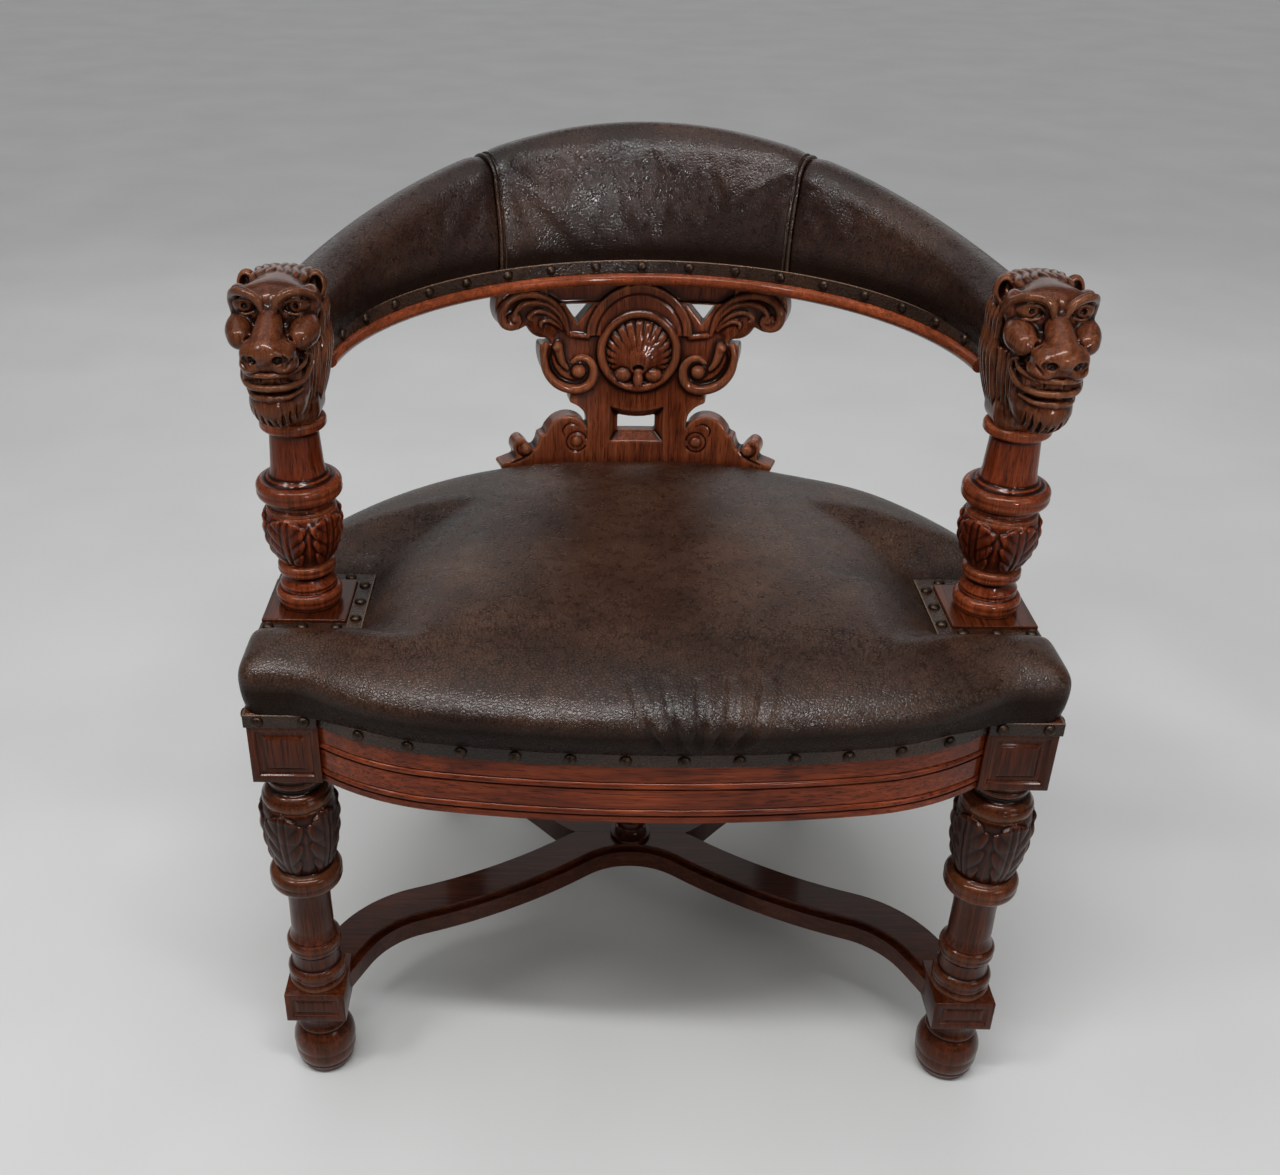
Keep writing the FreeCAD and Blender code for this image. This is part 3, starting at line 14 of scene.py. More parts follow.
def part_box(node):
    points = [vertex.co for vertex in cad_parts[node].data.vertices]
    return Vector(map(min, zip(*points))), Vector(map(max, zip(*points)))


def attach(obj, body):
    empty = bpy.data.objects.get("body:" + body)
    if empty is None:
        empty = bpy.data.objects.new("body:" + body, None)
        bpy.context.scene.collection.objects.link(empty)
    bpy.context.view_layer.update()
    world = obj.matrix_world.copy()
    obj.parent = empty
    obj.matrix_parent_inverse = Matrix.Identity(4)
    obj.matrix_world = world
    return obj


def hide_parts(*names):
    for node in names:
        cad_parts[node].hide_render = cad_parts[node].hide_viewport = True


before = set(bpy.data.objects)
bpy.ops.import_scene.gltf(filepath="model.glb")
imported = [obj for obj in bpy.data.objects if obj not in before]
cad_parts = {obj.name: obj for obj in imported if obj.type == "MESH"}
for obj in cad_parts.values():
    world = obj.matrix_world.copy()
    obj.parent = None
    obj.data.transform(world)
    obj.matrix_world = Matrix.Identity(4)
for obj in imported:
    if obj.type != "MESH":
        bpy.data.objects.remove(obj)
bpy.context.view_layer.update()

MM = 0.001
OAK = "dark_oak"
HIDE = "brown_leather"
SAME_POINT = 0.02 * MM
# edges bent more than SHARP are rounded, those bent less than FLAT are dissolved
SHARP, FLAT = math.radians(35), math.radians(0.6)


def cad_box(node):
    """Low and high corner of a CAD node in millimetres."""
    low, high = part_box(node)
    return np.array(low) / MM, np.array(high) / MM


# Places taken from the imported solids

leg_low, leg_high = cad_box("leg_front_right")
LEG_X, LEG_Y = (leg_low[:2] + leg_high[:2]) / 2
FRAME_TOP = leg_high[2]
post_low, post_high = cad_box("arm_post_right")
POST_X, POST_Y = (post_low[:2] + post_high[:2]) / 2
plinth_low, plinth_high = cad_box("arm_plinth_right")
PLINTH_HALF = (plinth_high[0] - plinth_low[0]) / 2
head_low, head_high = cad_box("lion_head_right")
POST_TOP = head_low[2]
HEAD_BACK_Y = head_high[1]
rail_low, rail_high = cad_box("arm_rail_right")
RAIL_BASE, RAIL_TOP = rail_low[2], rail_high[2]
FRAME_BOTTOM = cad_box("front_rail")[0][2]
REAR_Y = cad_box("rear_rail")[1][1]
seat_low, seat_high = cad_box("seat_leather")
SEAT_TOP = seat_high[2]
SEAT_FRONT = seat_low[1]


# Meshes

def piece(name, points, faces, finish, slot_name, stands_for):
    """A smooth mesh from millimetre points that rides on the chair and stands for CAD nodes."""
    mesh = bpy.data.meshes.new(name)
    mesh.from_pydata((np.asarray(points, float) * MM).tolist(), [], faces)
    return mesh_piece(name, mesh, finish, slot_name, stands_for)


def placed(name, data):
    """A new object in the scene."""
    made = bpy.data.objects.new(name, data)
    bpy.context.scene.collection.objects.link(made)
    return made


def mesh_piece(name, mesh, finish, slot_name, stands_for):
    """The chair's own object for a finished mesh."""
    mesh.materials.clear()
    mesh.materials.append(finish)
    mesh.shade_smooth()
    made = placed(name, mesh)
    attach(made, "root")
    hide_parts(*stands_for)
    return made


def rows(items, name, width=3, kind=float):
    """One property of all of a mesh's points or edges, a row for each."""
    found = np.empty(len(items) * width, kind)
    items.foreach_get(name, found)
    return found.reshape(-1, width)


def joined(shells):
    """Several (points, faces) shells as one."""
    points, faces, first = [], [], 0
    for shell_points, shell_faces in shells:
        points.append(np.asarray(shell_points, float))
        faces += [tuple(int(i) + first for i in f) for f in shell_faces]
        first += len(shell_points)
    return np.concatenate(points), faces


def mirrored(shell):
    """The left-hand twin of a right-hand shell, its faces turned to point outwards."""
    points, faces = shell
    return points * (-1, 1, 1), [tuple(reversed(f)) for f in faces]


def moved(shell, x, y, z):
    """A shell shifted to its place."""
    points, faces = shell
    return points + (x, y, z), faces


def profile(steps, fine=1.2):
    """Dense (r, z) points of a turned profile. (r, z) is a line, (r, z, r_mid, z_mid) an arc."""
    line = [np.array(steps[0][:2], float)]
    for step in steps[1:]:
        start, end = line[-1], np.array(step[:2], float)
        if len(step) == 2:
            line.append(end)
            continue
        mid = np.array(step[2:], float)
        chords = 2 * np.array([mid - start, end - start])
        centre = np.linalg.solve(chords, [mid @ mid - start @ start, end @ end - start @ start])
        a0, am, a1 = [math.atan2(*(p - centre)[::-1]) for p in (start, mid, end)]
        turn = (a1 - a0) % (2 * math.pi)
        if (am - a0) % (2 * math.pi) > turn:
            turn -= 2 * math.pi
        radius = np.linalg.norm(start - centre)
        count = max(3, int(abs(turn) * radius / fine))
        for i in range(1, count + 1):
            a = a0 + turn * i / count
            line.append(centre + radius * np.array([math.cos(a), math.sin(a)]))
    return np.array(line)


def grid_faces(count, wide):
    """Quads of a grid of points, so many rows one after another, each row closed round."""
    return [(i * wide + j, i * wide + (j + 1) % wide, (i + 1) * wide + (j + 1) % wide, (i + 1) * wide + j)
            for i in range(count - 1) for j in range(wide)]


def lathe(line, sides=72, relief=None):
    """Closed turned shell about Z from dense (r, z) points, with an optional carved relief."""
    turn = np.linspace(0, 2 * math.pi, sides, endpoint=False)
    r = np.repeat(line[:, :1], sides, axis=1)
    z = np.repeat(line[:, 1:], sides, axis=1)
    if relief is not None:
        r = r + relief(turn[None, :], z)
    ring = np.stack([r * np.cos(turn), r * np.sin(turn), z], axis=-1).reshape(-1, 3)
    faces = grid_faces(len(line), sides)
    last, top = len(ring), (len(line) - 1) * sides
    ring = np.concatenate([ring, [(0, 0, line[0][1]), (0, 0, line[-1][1])]])
    for j in range(sides):
        k = (j + 1) % sides
        faces += [(last, k, j), (last + 1, top + j, top + k)]
    return ring, faces


def slab(low, high, rings=()):
    """Box shell. Rings of (inset, depth) draw a sunk field on its -Y and +X faces."""
    (x0, y0, z0), (x1, y1, z1) = low, high
    points = [(x0, y0, z0), (x1, y0, z0), (x1, y1, z0), (x0, y1, z0),
              (x0, y0, z1), (x1, y0, z1), (x1, y1, z1), (x0, y1, z1)]
    faces = [(3, 2, 1, 0), (4, 5, 6, 7), (2, 3, 7, 6), (3, 0, 4, 7)]
    for axis, inward, corners in ((1, 1, (0, 1, 5, 4)), (0, -1, (1, 2, 6, 5))):
        outer = corners
        for inset, depth in rings:
            inner = range(len(points), len(points) + 4)
            for corner in corners:
                p = [v + (inset if v == least else -inset) for v, least in zip(points[corner], low)]
                p[axis] = points[corner][axis] + inward * depth
                points.append(tuple(p))
            faces += [(outer[j], outer[j - 3], inner[j - 3], inner[j]) for j in range(4)]
            outer = tuple(inner)
        faces.append(outer)
    return np.array(points, float), faces


def softened(node, name, finish, slot_name, edge, worn_edge_highlight=False):
    """A CAD node's own form with its sharp edges rounded as a worn edge is."""
    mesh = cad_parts[node].data.copy()
    work = bmesh.new()
    work.from_mesh(mesh)
    bmesh.ops.remove_doubles(work, verts=work.verts, dist=SAME_POINT)
    bmesh.ops.dissolve_limit(work, angle_limit=FLAT, verts=work.verts, edges=work.edges)
    layer = work.faces.layers.float.new("worn_edge_highlight")
    sharp = [e for e in work.edges if len(e.link_faces) == 2 and e.calc_face_angle(0) > SHARP]
    worn = bmesh.ops.bevel(work, geom=sharp, offset=edge * MM, segments=2, profile=0.5, affect="EDGES",
                           clamp_overlap=True)["faces"]
    # upward-facing rounded edges of the trim are marked paler: worn edges with a painted highlight from
    # above
    for face in worn:
        face[layer] = 1.0 if worn_edge_highlight and face.normal.z > 0.15 else 0.0
    bmesh.ops.triangulate(work, faces=[f for f in work.faces if len(f.verts) > 4])
    work.to_mesh(mesh)
    work.free()
    made = mesh_piece(name, mesh, finish, slot_name, [node])
    made.modifiers.new("flat_faces", "WEIGHTED_NORMAL")


# Carving

class Carving:
    """A distance field on a box grid in millimetres, built up and cut like a carver's block."""
    AIR, RIM = 60.0, 30.0  # distances where nothing is carved yet, and just outside the grid

    def __init__(self, low, high, cell):
        self.low = np.array(low, float)
        self.cell = cell
        self.axes = [np.arange(a, b + cell, cell) for a, b in zip(low, high)]
        self.field = np.full([len(a) for a in self.axes], self.AIR, np.float32)

    def window(self, low, high):
        """Slices and open grids of the cells between two corners."""
        part, grids = [], []
        for axis, a, b in zip(self.axes, low, high):
            first = max(0, int((a - axis[0]) / self.cell) - 1)
            last = min(len(axis), int((b - axis[0]) / self.cell) + 3)
            part.append(slice(first, max(first, last)))
            grids.append(axis[part[-1]])
        return tuple(part), np.meshgrid(*grids, indexing="ij", sparse=True)

    def meld(self, part, form, soft, cut):
        """Joins a form to the block, or takes it out, with a fillet of about soft."""
        old = self.field[part]
        form = form.astype(np.float32)
        if cut:
            share = np.clip(0.5 - 0.5 * (old + form) / soft, 0, 1)
            self.field[part] = old + (-form - old) * share + soft * share * (1 - share)
        else:
            share = np.clip(0.5 + 0.5 * (old - form) / soft, 0, 1)
            self.field[part] = old + (form - old) * share - soft * share * (1 - share)

    def ball(self, centre, radii, soft, cut=False, pair=False):
        """An egg with three radii."""
        radii = np.array(radii, float)
        for side in (1, -1) if pair else (1,):
            c = np.array(centre, float) * (side, 1, 1)
            part, grids = self.window(c - radii - soft - 3, c + radii + soft + 3)
            off = [grid - middle for grid, middle in zip(grids, c)]
            reach = np.sqrt(sum((o / r) ** 2 for o, r in zip(off, radii)))
            slope = np.sqrt(sum((o / r ** 2) ** 2 for o, r in zip(off, radii)) + 1e-9)
            self.meld(part, reach * (reach - 1) / slope, soft, cut)

    def rope(self, points, radii, soft, cut=False, pair=False):
        """A round strand along a smooth line, its radius changing on the way."""
        line = strand(np.column_stack([np.array(points, float), np.broadcast_to(radii, len(points))]))
        for side in (1, -1) if pair else (1,):
            path = line[:, :3] * (side, 1, 1)
            reach = line[:, 3].max() + soft + 3
            part, grids = self.window(path.min(0) - reach, path.max(0) + reach)
            near = None
            for a, b, ra, rb in zip(path[:-1], path[1:], line[:-1, 3], line[1:, 3]):
                run = b - a
                off = [g - start for g, start in zip(grids, a)]
                t = np.clip(sum(o * r for o, r in zip(off, run)) / max(run @ run, 1e-9), 0, 1)
                far = np.sqrt(sum((o - t * r) ** 2 for o, r in zip(off, run)))
                form = far - (ra + (rb - ra) * t)
                near = form if near is None else np.minimum(near, form)
            self.meld(part, near, soft, cut)

    def ridge(self, points, radii, soft):
        """A strand on both sides."""
        self.rope(points, radii, soft, pair=True)

    def groove(self, points, radii, soft):
        """A strand cut away on both sides."""
        self.rope(points, radii, soft, cut=True, pair=True)

    def knob(self, centre, radii, soft):
        """An egg on both sides."""
        self.ball(centre, radii, soft, pair=True)

    def hollow(self, centre, radii, soft):
        """An egg cut away on both sides."""
        self.ball(centre, radii, soft, cut=True, pair=True)

    def box(self, centre, half, round_by, soft):
        """A block with rounded edges."""
        half = np.array(half, float) - round_by
        c = np.array(centre, float)
        reach = half + round_by + soft + 3
        part, grids = self.window(c - reach, c + reach)
        over = [np.abs(g - m) - h for g, m, h in zip(grids, c, half)]
        outside = np.sqrt(sum(np.maximum(o, 0) ** 2 for o in over))
        inside = np.minimum(np.maximum(np.maximum(over[0], over[1]), over[2]), 0)
        self.meld(part, outside + inside - round_by, soft, False)

    def keep(self, form):
        """Keeps only what lies inside a form given for the whole grid."""
        self.field = np.maximum(self.field, form.astype(np.float32))

    def grids(self):
        """Open grids of the whole block."""
        return np.meshgrid(*self.axes, indexing="ij", sparse=True)

    def shell(self):
        """The carved surface as (points, quads), one point in each cell that it crosses."""
        field = np.pad(self.field, 1, constant_values=self.RIM)
        size = np.array(field.shape) - 1
        inside = field < 0
        total = np.zeros((3, size.prod()))
        count = np.zeros(size.prod())
        quads = []
        for axis in range(3):
            n = field.shape[axis] - 1
            lower = np.take(inside, range(n), axis)
            upper = np.take(inside, range(1, n + 1), axis)
            at = np.argwhere(lower != upper)
            step = np.eye(3, dtype=int)[axis]
            f0, f1 = field[tuple(at.T)], field[tuple((at + step).T)]
            place = at + step * (f0 / (f0 - f1))[:, None]
            u, v = np.eye(3, dtype=int)[(axis + 1) % 3], np.eye(3, dtype=int)[(axis + 2) % 3]
            around = [np.ravel_multi_index((at - d).T, size) for d in (0 * u, u, u + v, v)]
            for cell in around:
                count += np.bincount(cell, minlength=len(count))
                for k in range(3):
                    total[k] += np.bincount(cell, place[:, k], len(count))
            quad = np.stack(around, axis=1)
            turn = ~inside[tuple(at.T)]
            quad[turn] = quad[turn][:, ::-1]
            quads.append(quad)
        used = np.flatnonzero(count)
        index = np.zeros(len(count), int)
        index[used] = np.arange(len(used))
        points = (total[:, used] / count[used]).T
        points = self.low + (points - 1) * self.cell
        return points, index[np.concatenate(quads)]


def strand(knots, fine=7):
    """Points of a smooth line through knots of any width."""
    knots = np.asarray(knots, float)
    if len(knots) < 3:
        return knots
    ends = np.vstack([2 * knots[0] - knots[1], knots, 2 * knots[-1] - knots[-2]])
    t = np.linspace(0, 1, fine, endpoint=False)[:, None]
    line = []
    for a, b, c, d in zip(ends[:-3], ends[1:-2], ends[2:-1], ends[3:]):
        line.append(0.5 * (2 * b + (c - a) * t + (2 * a - 5 * b + 4 * c - d) * t ** 2
                           + (3 * b - a - 3 * c + d) * t ** 3))
    return np.vstack(line + [knots[-1:]])


def easing(points, ends, rounds, share):
    """Points moved a share of the way to their neighbours' middle, given after each round."""
    ends = np.concatenate([ends, ends[:, ::-1]])
    count = np.maximum(np.bincount(ends[:, 0], minlength=len(points)), 1)[:, None]
    eased = points.copy()
    for _ in range(rounds):
        middle = np.stack([np.bincount(ends[:, 0], eased[ends[:, 1], k], len(points)) for k in range(3)], 1)
        eased += share * (middle / count - eased)
        yield eased


def smoothed(points, quads, rounds, share):
    """A carved surface's points without the marks of the grid."""
    ends = np.concatenate([quads[:, [i, (i + 1) % 4]] for i in range(4)])
    return list(easing(points, ends, rounds, share))[-1]


def wear_and_painted_light(mesh, reach):
    """A value for each point of a carved mesh: hollows near 0, high places near 1. It sets the old wax in
    hollows and worn high places, and also painted shade and painted highlight.
    """
    points, normals = rows(mesh.vertices, "co") / MM, rows(mesh.vertices, "normal")
    ends = rows(mesh.edges, "vertices", 2, int)
    depth = np.zeros(len(points))
    scales = dict(reach)
    for turn, eased in enumerate(easing(points, ends, max(scales, default=0), 0.6), 1):
        if turn in scales:
            depth += ((points - eased) * normals).sum(1) / scales[turn]
    length = np.linalg.norm(points[ends[:, 0]] - points[ends[:, 1]], axis=1)
    coarse = np.zeros(len(points))
    for end in (0, 1):
        np.maximum.at(coarse, ends[:, end], length)
    # edges longer than a few millimetres tell nothing of hollows
    depth *= np.clip((4.5 - coarse) / 1.5, 0, 1)
    return np.clip(0.5 + 0.3 * depth, 0, 1)


def mark(mesh, name, values):
    """Keeps a value for each point of a mesh, for its finish to read."""
    mesh.attributes.new(name, "FLOAT", "POINT").data.foreach_set("value", values)


# Finishes

def linear(code):
    """Linear colour from an sRGB hex value."""
    parts = [int(code[i:i + 2], 16) / 255 for i in (1, 3, 5)]
    return tuple(c / 12.92 if c <= 0.04045 else ((c + 0.055) / 1.055) ** 2.4 for c in parts) + (1.0,)


def feed(tree, node, joins):
    """Sets a node's inputs to values or joins them to sockets."""
    for socket, value in joins.items():
        if isinstance(value, bpy.types.NodeSocket):
            tree.links.new(value, node.inputs[socket])
        else:
            node.inputs[socket].default_value = value


def add(tree, kind, joins=None, **settings):
    """A node with its settings and inputs."""
    made = tree.nodes.new(kind)
    for key, value in settings.items():
        setattr(made, key, value)
    feed(tree, made, joins or {})
    return made


def blank(name):
    """A new material: its tree, its main shader and its object coordinates."""
    made = bpy.data.materials.new(name)
    made.use_nodes = True
    tree = made.node_tree
    return made, tree, tree.nodes["Principled BSDF"], add(tree, "ShaderNodeTexCoord").outputs["Object"]


def ramp(tree, factor, stops):
    """Colours by hex along a factor."""
    made = add(tree, "ShaderNodeValToRGB", {"Fac": factor})
    while len(made.color_ramp.elements) < len(stops):
        made.color_ramp.elements.new(0.5)
    for element, (place, code) in zip(made.color_ramp.elements, stops):
        element.position = place
        element.color = linear(code)
    return made.outputs["Color"]


def noise(tree, place, scale, detail=2.0, rough=0.5, bend=0.0):
    """A cloudy factor."""
    return add(tree, "ShaderNodeTexNoise", {"Vector": place, "Scale": scale, "Detail": detail,
                                            "Roughness": rough, "Distortion": bend}).outputs["Fac"]


def stretched(tree, place, scale):
    """Coordinates drawn out along some axes."""
    return add(tree, "ShaderNodeMapping", {"Vector": place, "Scale": scale}).outputs["Vector"]


def mixed(tree, share, below, above, blend="MIX"):
    """One colour laid over another."""
    return add(tree, "ShaderNodeMix", {0: share, 6: below, 7: above}, data_type="RGBA",
               blend_type=blend).outputs[2]


def ranged(tree, value, low, high, start=0.0, end=1.0):
    """A value's run from start to end, made to run from low to high."""
    return add(tree, "ShaderNodeMapRange", {"Value": value, "From Min": start, "From Max": end,
                                            "To Min": low, "To Max": high}).outputs["Result"]


def bumped(tree, height, depth, strength=0.5, **under):
    """A normal roughened by a height, over another normal if one is given."""
    return add(tree, "ShaderNodeBump", {"Height": height, "Strength": strength, "Distance": depth,
                                        **under}).outputs["Normal"]


def computed(tree, operation, *values):
    """The result of a sum on values or sockets."""
    return add(tree, "ShaderNodeMath", dict(enumerate(values)), operation=operation).outputs[0]


def marked(tree, name):
    """A value kept in the mesh."""
    return add(tree, "ShaderNodeAttribute", attribute_name=name).outputs["Fac"]


def polished_oak(name, grain_axis, tones):
    """Fumed and waxed oak: deep red-brown, open grain with dark pores, hollows darkened by old wax and by
    painted shade, high places paler where worn and by painted highlight.
    """
    made, tree, shader, place = blank(name)
    stretch = [1.0, 1.0, 1.0]
    stretch["XYZ".index(grain_axis)] = 1 / 22
    run = stretched(tree, place, stretch)
    # growth lines 5 mm apart, pores 1.4 mm wide and cloudy colour 80 mm across
    lines = noise(tree, run, 210.0, 6.0, 0.7, 0.5)
    pores = noise(tree, run, 700.0, 3.0)
    cloud = noise(tree, place, 12.0, 3.0)
    patina_and_painted_light = marked(tree, "patina_and_painted_light")
    base = ramp(tree, lines, list(zip((0.3, 0.5, 0.7), tones)))
    # the last two ramps follow the carving: hollows darkened by old wax and by painted shade, high places
    # paler where worn and by painted highlight
    for share, factor, stops, blend in (
            (1.0, cloud, [(0.3, "#a89488"), (0.7, "#ffffff")], "MULTIPLY"),
            (0.7, pores, [(0.36, "#5a3a2c"), (0.45, "#ffffff")], "MULTIPLY"),
            (1.0, patina_and_painted_light, [(0.1, "#170d0a"), (0.38, "#7c675b"), (0.51, "#ffffff")], "MULTIPLY"),
            (1.0, patina_and_painted_light, [(0.55, "#000000"), (0.95, "#3e2a1c")], "ADD")):
        base = mixed(tree, share, base, ramp(tree, factor, stops), blend)
    feed(tree, shader, {"Base Color": base, "Roughness": ranged(tree, patina_and_painted_light, 0.5, 0.2, 0.25, 0.75),
                        "Normal": bumped(tree, pores, 0.4 * MM, 0.25), "Specular IOR Level": 0.2,
                        "Specular Tint": linear("#d08a68"), "Coat Weight": 0.28, "Coat Roughness": 0.11})
    return made


def waxed_hide(name, *tones):
    """Old brown cowhide: pebbled grain, waxed gleam, paler where it is sat on, with painted shade on the
    border towards its foot and a painted highlight on worn upper edges of the trim.
    """
    made, tree, shader, place = blank(name)
    # pebbles near 1 mm are too fine to show, so they are drawn 3 mm wide; creases 8 mm, rubbed patches 90 mm
    bent = add(tree, "ShaderNodeTexNoise", {"Vector": place, "Scale": 60.0, "Detail": 1.0}).outputs["Color"]
    skewed = add(tree, "ShaderNodeMix", {0: 0.006, 4: place, 5: bent}, data_type="VECTOR").outputs[1]
    pebble = add(tree, "ShaderNodeTexVoronoi", {"Vector": skewed, "Scale": 330.0, "Randomness": 1.0},
                 feature="DISTANCE_TO_EDGE").outputs["Distance"]
    crease = noise(tree, place, 120.0, 4.0, 0.58)
    patch = noise(tree, place, 11.0, 4.0, 0.55)
    # painted shade: the cover's border darkened towards its foot, and its specular taken away there
    border = marked(tree, "painted_border_shade")
    base = ramp(tree, patch, list(zip((0.3, 0.5, 0.75), tones)))
    base = mixed(tree, 0.45, base, ramp(tree, crease, [(0.3, "#8a7a70"), (0.62, "#ffffff")]), "MULTIPLY")
    base = mixed(tree, 0.8, base, ramp(tree, pebble, [(0.0, "#6a5a50"), (0.16, "#ffffff")]), "MULTIPLY")
    base = mixed(tree, border, base, linear("#150c08"))
    # paler upper edges of the trim: wear with a painted highlight
    base = mixed(tree, marked(tree, "worn_edge_highlight"), base, linear("#604a3a"))
    grain = bumped(tree, ranged(tree, pebble, 0.0, 1.0, 0.0, 0.22), 0.32 * MM)
    feed(tree, shader, {"Base Color": base, "Roughness": ranged(tree, crease, 0.24, 0.33, 0.3, 0.7),
                        "Normal": bumped(tree, crease, 0.6 * MM, Normal=grain),
                        "Specular IOR Level": ranged(tree, border, 0.32, 0.0)})
    return made


def bronzed_brass(name):
    """Cast brass nail heads, chemically browned: dark with a dull warm gleam where worn."""
    made, tree, shader, place = blank(name)
    tarnish = noise(tree, place, 260.0, 3.0)
    feed(tree, shader, {"Base Color": ramp(tree, tarnish, [(0.3, "#18100b"), (0.7, "#46352a")]),
                        "Roughness": ranged(tree, tarnish, 0.28, 0.5), "Metallic": 0.85})
    return made


def woven_jute(name, yarn_mm):
    """Plain-woven jute: dusty tan yarns over and under, with darker gaps."""
    made, tree, shader, place = blank(name)
    split = add(tree, "ShaderNodeSeparateXYZ", {"Vector": place})
    waves = [computed(tree, "SINE", computed(tree, "MULTIPLY", split.outputs[k], math.pi / (yarn_mm * MM)))
             for k in ("X", "Y")]
    weave = computed(tree, "MULTIPLY", *waves)
    dusty = computed(tree, "MULTIPLY_ADD", weave, 0.25, noise(tree, place, 700.0, 4.0))
    feed(tree, shader,
         {"Base Color": ramp(tree, dusty, [(0.2, "#4a3824"), (0.5, "#8a7048"), (0.8, "#b09468")]),
          "Roughness": 0.9, "Normal": bumped(tree, weave, 0.6 * MM)})
    return made


def bare_beech(name):
    """Unfinished beech: pale pinkish tan, fine short flecks, matt."""
    made, tree, shader, place = blank(name)
    fleck = noise(tree, stretched(tree, place, (1.0, 0.12, 0.12)), 700.0, 3.0)
    feed(tree, shader,
         {"Base Color": ramp(tree, fleck, [(0.3, "#8a6040"), (0.55, "#a87a54"), (0.7, "#b98c66")]),
          "Roughness": 0.65})
    return made


def zinc_steel(name):
    """Turned steel screws: satin grey with fine tool marks."""
    made, tree, shader, place = blank(name)
    marks = noise(tree, place, 1500.0)
    feed(tree, shader, {"Base Color": ramp(tree, marks, [(0.3, "#6e7072"), (0.7, "#9b9da0")]),
                        "Metallic": 1.0, "Roughness": 0.38})
    return made


RED_OAK = ("#4a1c0a", "#743117", "#944522")
# darker copies of the oak for the legs, rear legs, plinths, stretcher yokes and finial: painted shade under
# and beside the seat
SHADED_OAK = ("#2c1208", "#4a200e", "#64311a")
oaks = [polished_oak(name, axis, tones) for name, axis, tones in (
    ("polished_oak_upright", "Z", RED_OAK), ("polished_oak_across", "X", RED_OAK),
    ("polished_oak_front_to_back", "Y", RED_OAK), ("shaded_oak_upright", "Z", SHADED_OAK),
    ("shaded_oak_across", "X", SHADED_OAK), ("shaded_oak_front_to_back", "Y", SHADED_OAK),
    ("handled_oak_upright", "Z", ("#34170c", "#532a18", "#6e4027")),
    ("splat_oak_upright", "Z", ("#3e1b0d", "#642f1a", "#824527")))]
oak_upright, oak_across, oak_deep, oak_shaded_upright, oak_shaded_across, oak_shaded_deep = oaks[:6]
oak_handled, oak_splat = oaks[6:]
seat_hide = waxed_hide("waxed_hide", "#22140d", "#38241a", "#50382a")
# a darker copy of the seat leather for the padded back and arms: painted shade
shaded_pad_hide = waxed_hide("shaded_pad_hide", "#180e09", "#2a1913", "#3f2a20")
trim_hide = waxed_hide("waxed_hide_trim", "#1e110a", "#332015", "#4a3020")
nail_brass = bronzed_brass("bronzed_brass")
web_jute = woven_jute("jute_webbing", 2.2)
cloth_jute = woven_jute("jute_hessian", 1.6)
beech = bare_beech("bare_beech")
screw_steel = zinc_steel("turned_steel")


# Front legs: turned foot, square blocks with a sunk field, and a leaf-carved bulb

BLOCK_HALF, LOW_BLOCK_HALF = 30.0, 28.5
# (inset, depth) of the steps into a block's sunk field
FIELD = [(6.0, 0.0), (7.2, 2.6), (9.0, 3.4), (12.0, 3.2), (15.0, 0.9)]
LOW_FIELD = [(6.0, 0.0), (7.0, 1.8), (9.0, 2.2), (11.5, 0.7)]
GIMP_DROP = 12.0
# foot and height of the carved leaves, and how far they stand out
LEG_LEAF_Z, LEG_LEAF_HIGH, LEG_LEAF_SWELL = 256.0, 74.0, 2.7
POST_LEAF_Z, POST_LEAF_HIGH, POST_LEAF_SWELL = 516.0, 50.0, 2.6
LEAVES, LOBES, BULB_SIDES = 5, 4, 240


def leaf_bulb(foot, height, swell):
    """Relief in millimetres of upright acanthus leaves round a bulb that starts at height foot."""
    def relief(turn, z):
        v = np.clip((z - foot) / height, 0, 1)
        u = np.abs((turn * LEAVES / (2 * math.pi) + 0.5) % 1.0 - 0.5) * 2
        # side lobes that rise outwards from the midrib, then the leaf's outline with its round tip
        lobe = np.abs(np.cos(math.pi * LOBES * (v - 0.34 * u)))
        tip = np.sqrt(np.clip((0.975 - v) / 0.13, 0, 1))
        spread = (0.62 + 0.36 * np.sin(0.55 * math.pi * v)) * tip * (0.82 + 0.18 * lobe)
        w = u / np.maximum(spread, 0.02)
        body = np.clip((1 - w) / 0.14, 0, 1)
        body = body * body * (3 - 2 * body)
        # midrib between two grooves, and the tip curling forward
        rib = np.exp(-(u / 0.08) ** 2) - 0.8 * np.exp(-((u - 0.17) / 0.05) ** 2)
        curl = np.exp(-((v - 0.9) / 0.06) ** 2)
        leaf = body * (0.4 + 0.45 * lobe * np.clip(1.7 * w, 0, 1) + 0.24 * rib + 0.3 * curl)
        # plain dart between two leaves
        dart = np.clip(1 - (1 - u) / (0.34 - 0.3 * v), 0, 1) * np.clip((0.8 - v) / 0.1, 0, 1)
        fade = np.clip(v / 0.08, 0, 1)
        return swell * fade * np.maximum(leaf, 0.5 * dart)
    return relief


ARRIS_WORN, FIELD_ARRIS_WORN = 1.4, 0.63


def rounded_slab(low, high, rings=()):
    """A slab with its arrises rounded, less so round a sunk field."""
    points, faces = slab(low, high, rings)
    mesh = bpy.data.meshes.new("slab")
    mesh.from_pydata(points.tolist(), [], faces)
    work = bmesh.new()
    work.from_mesh(mesh)
    arrises = [e for e in work.edges if e.calc_face_angle(0) > math.radians(30)]
    bmesh.ops.bevel(work, geom=arrises, offset=FIELD_ARRIS_WORN if rings else ARRIS_WORN, segments=2,
                    profile=0.5, affect="EDGES", clamp_overlap=True)
    work.to_mesh(mesh)
    work.free()
    shell = np.array([v.co[:] for v in mesh.vertices]), [tuple(p.vertices) for p in mesh.polygons]
    bpy.data.meshes.remove(mesh)
    return shell


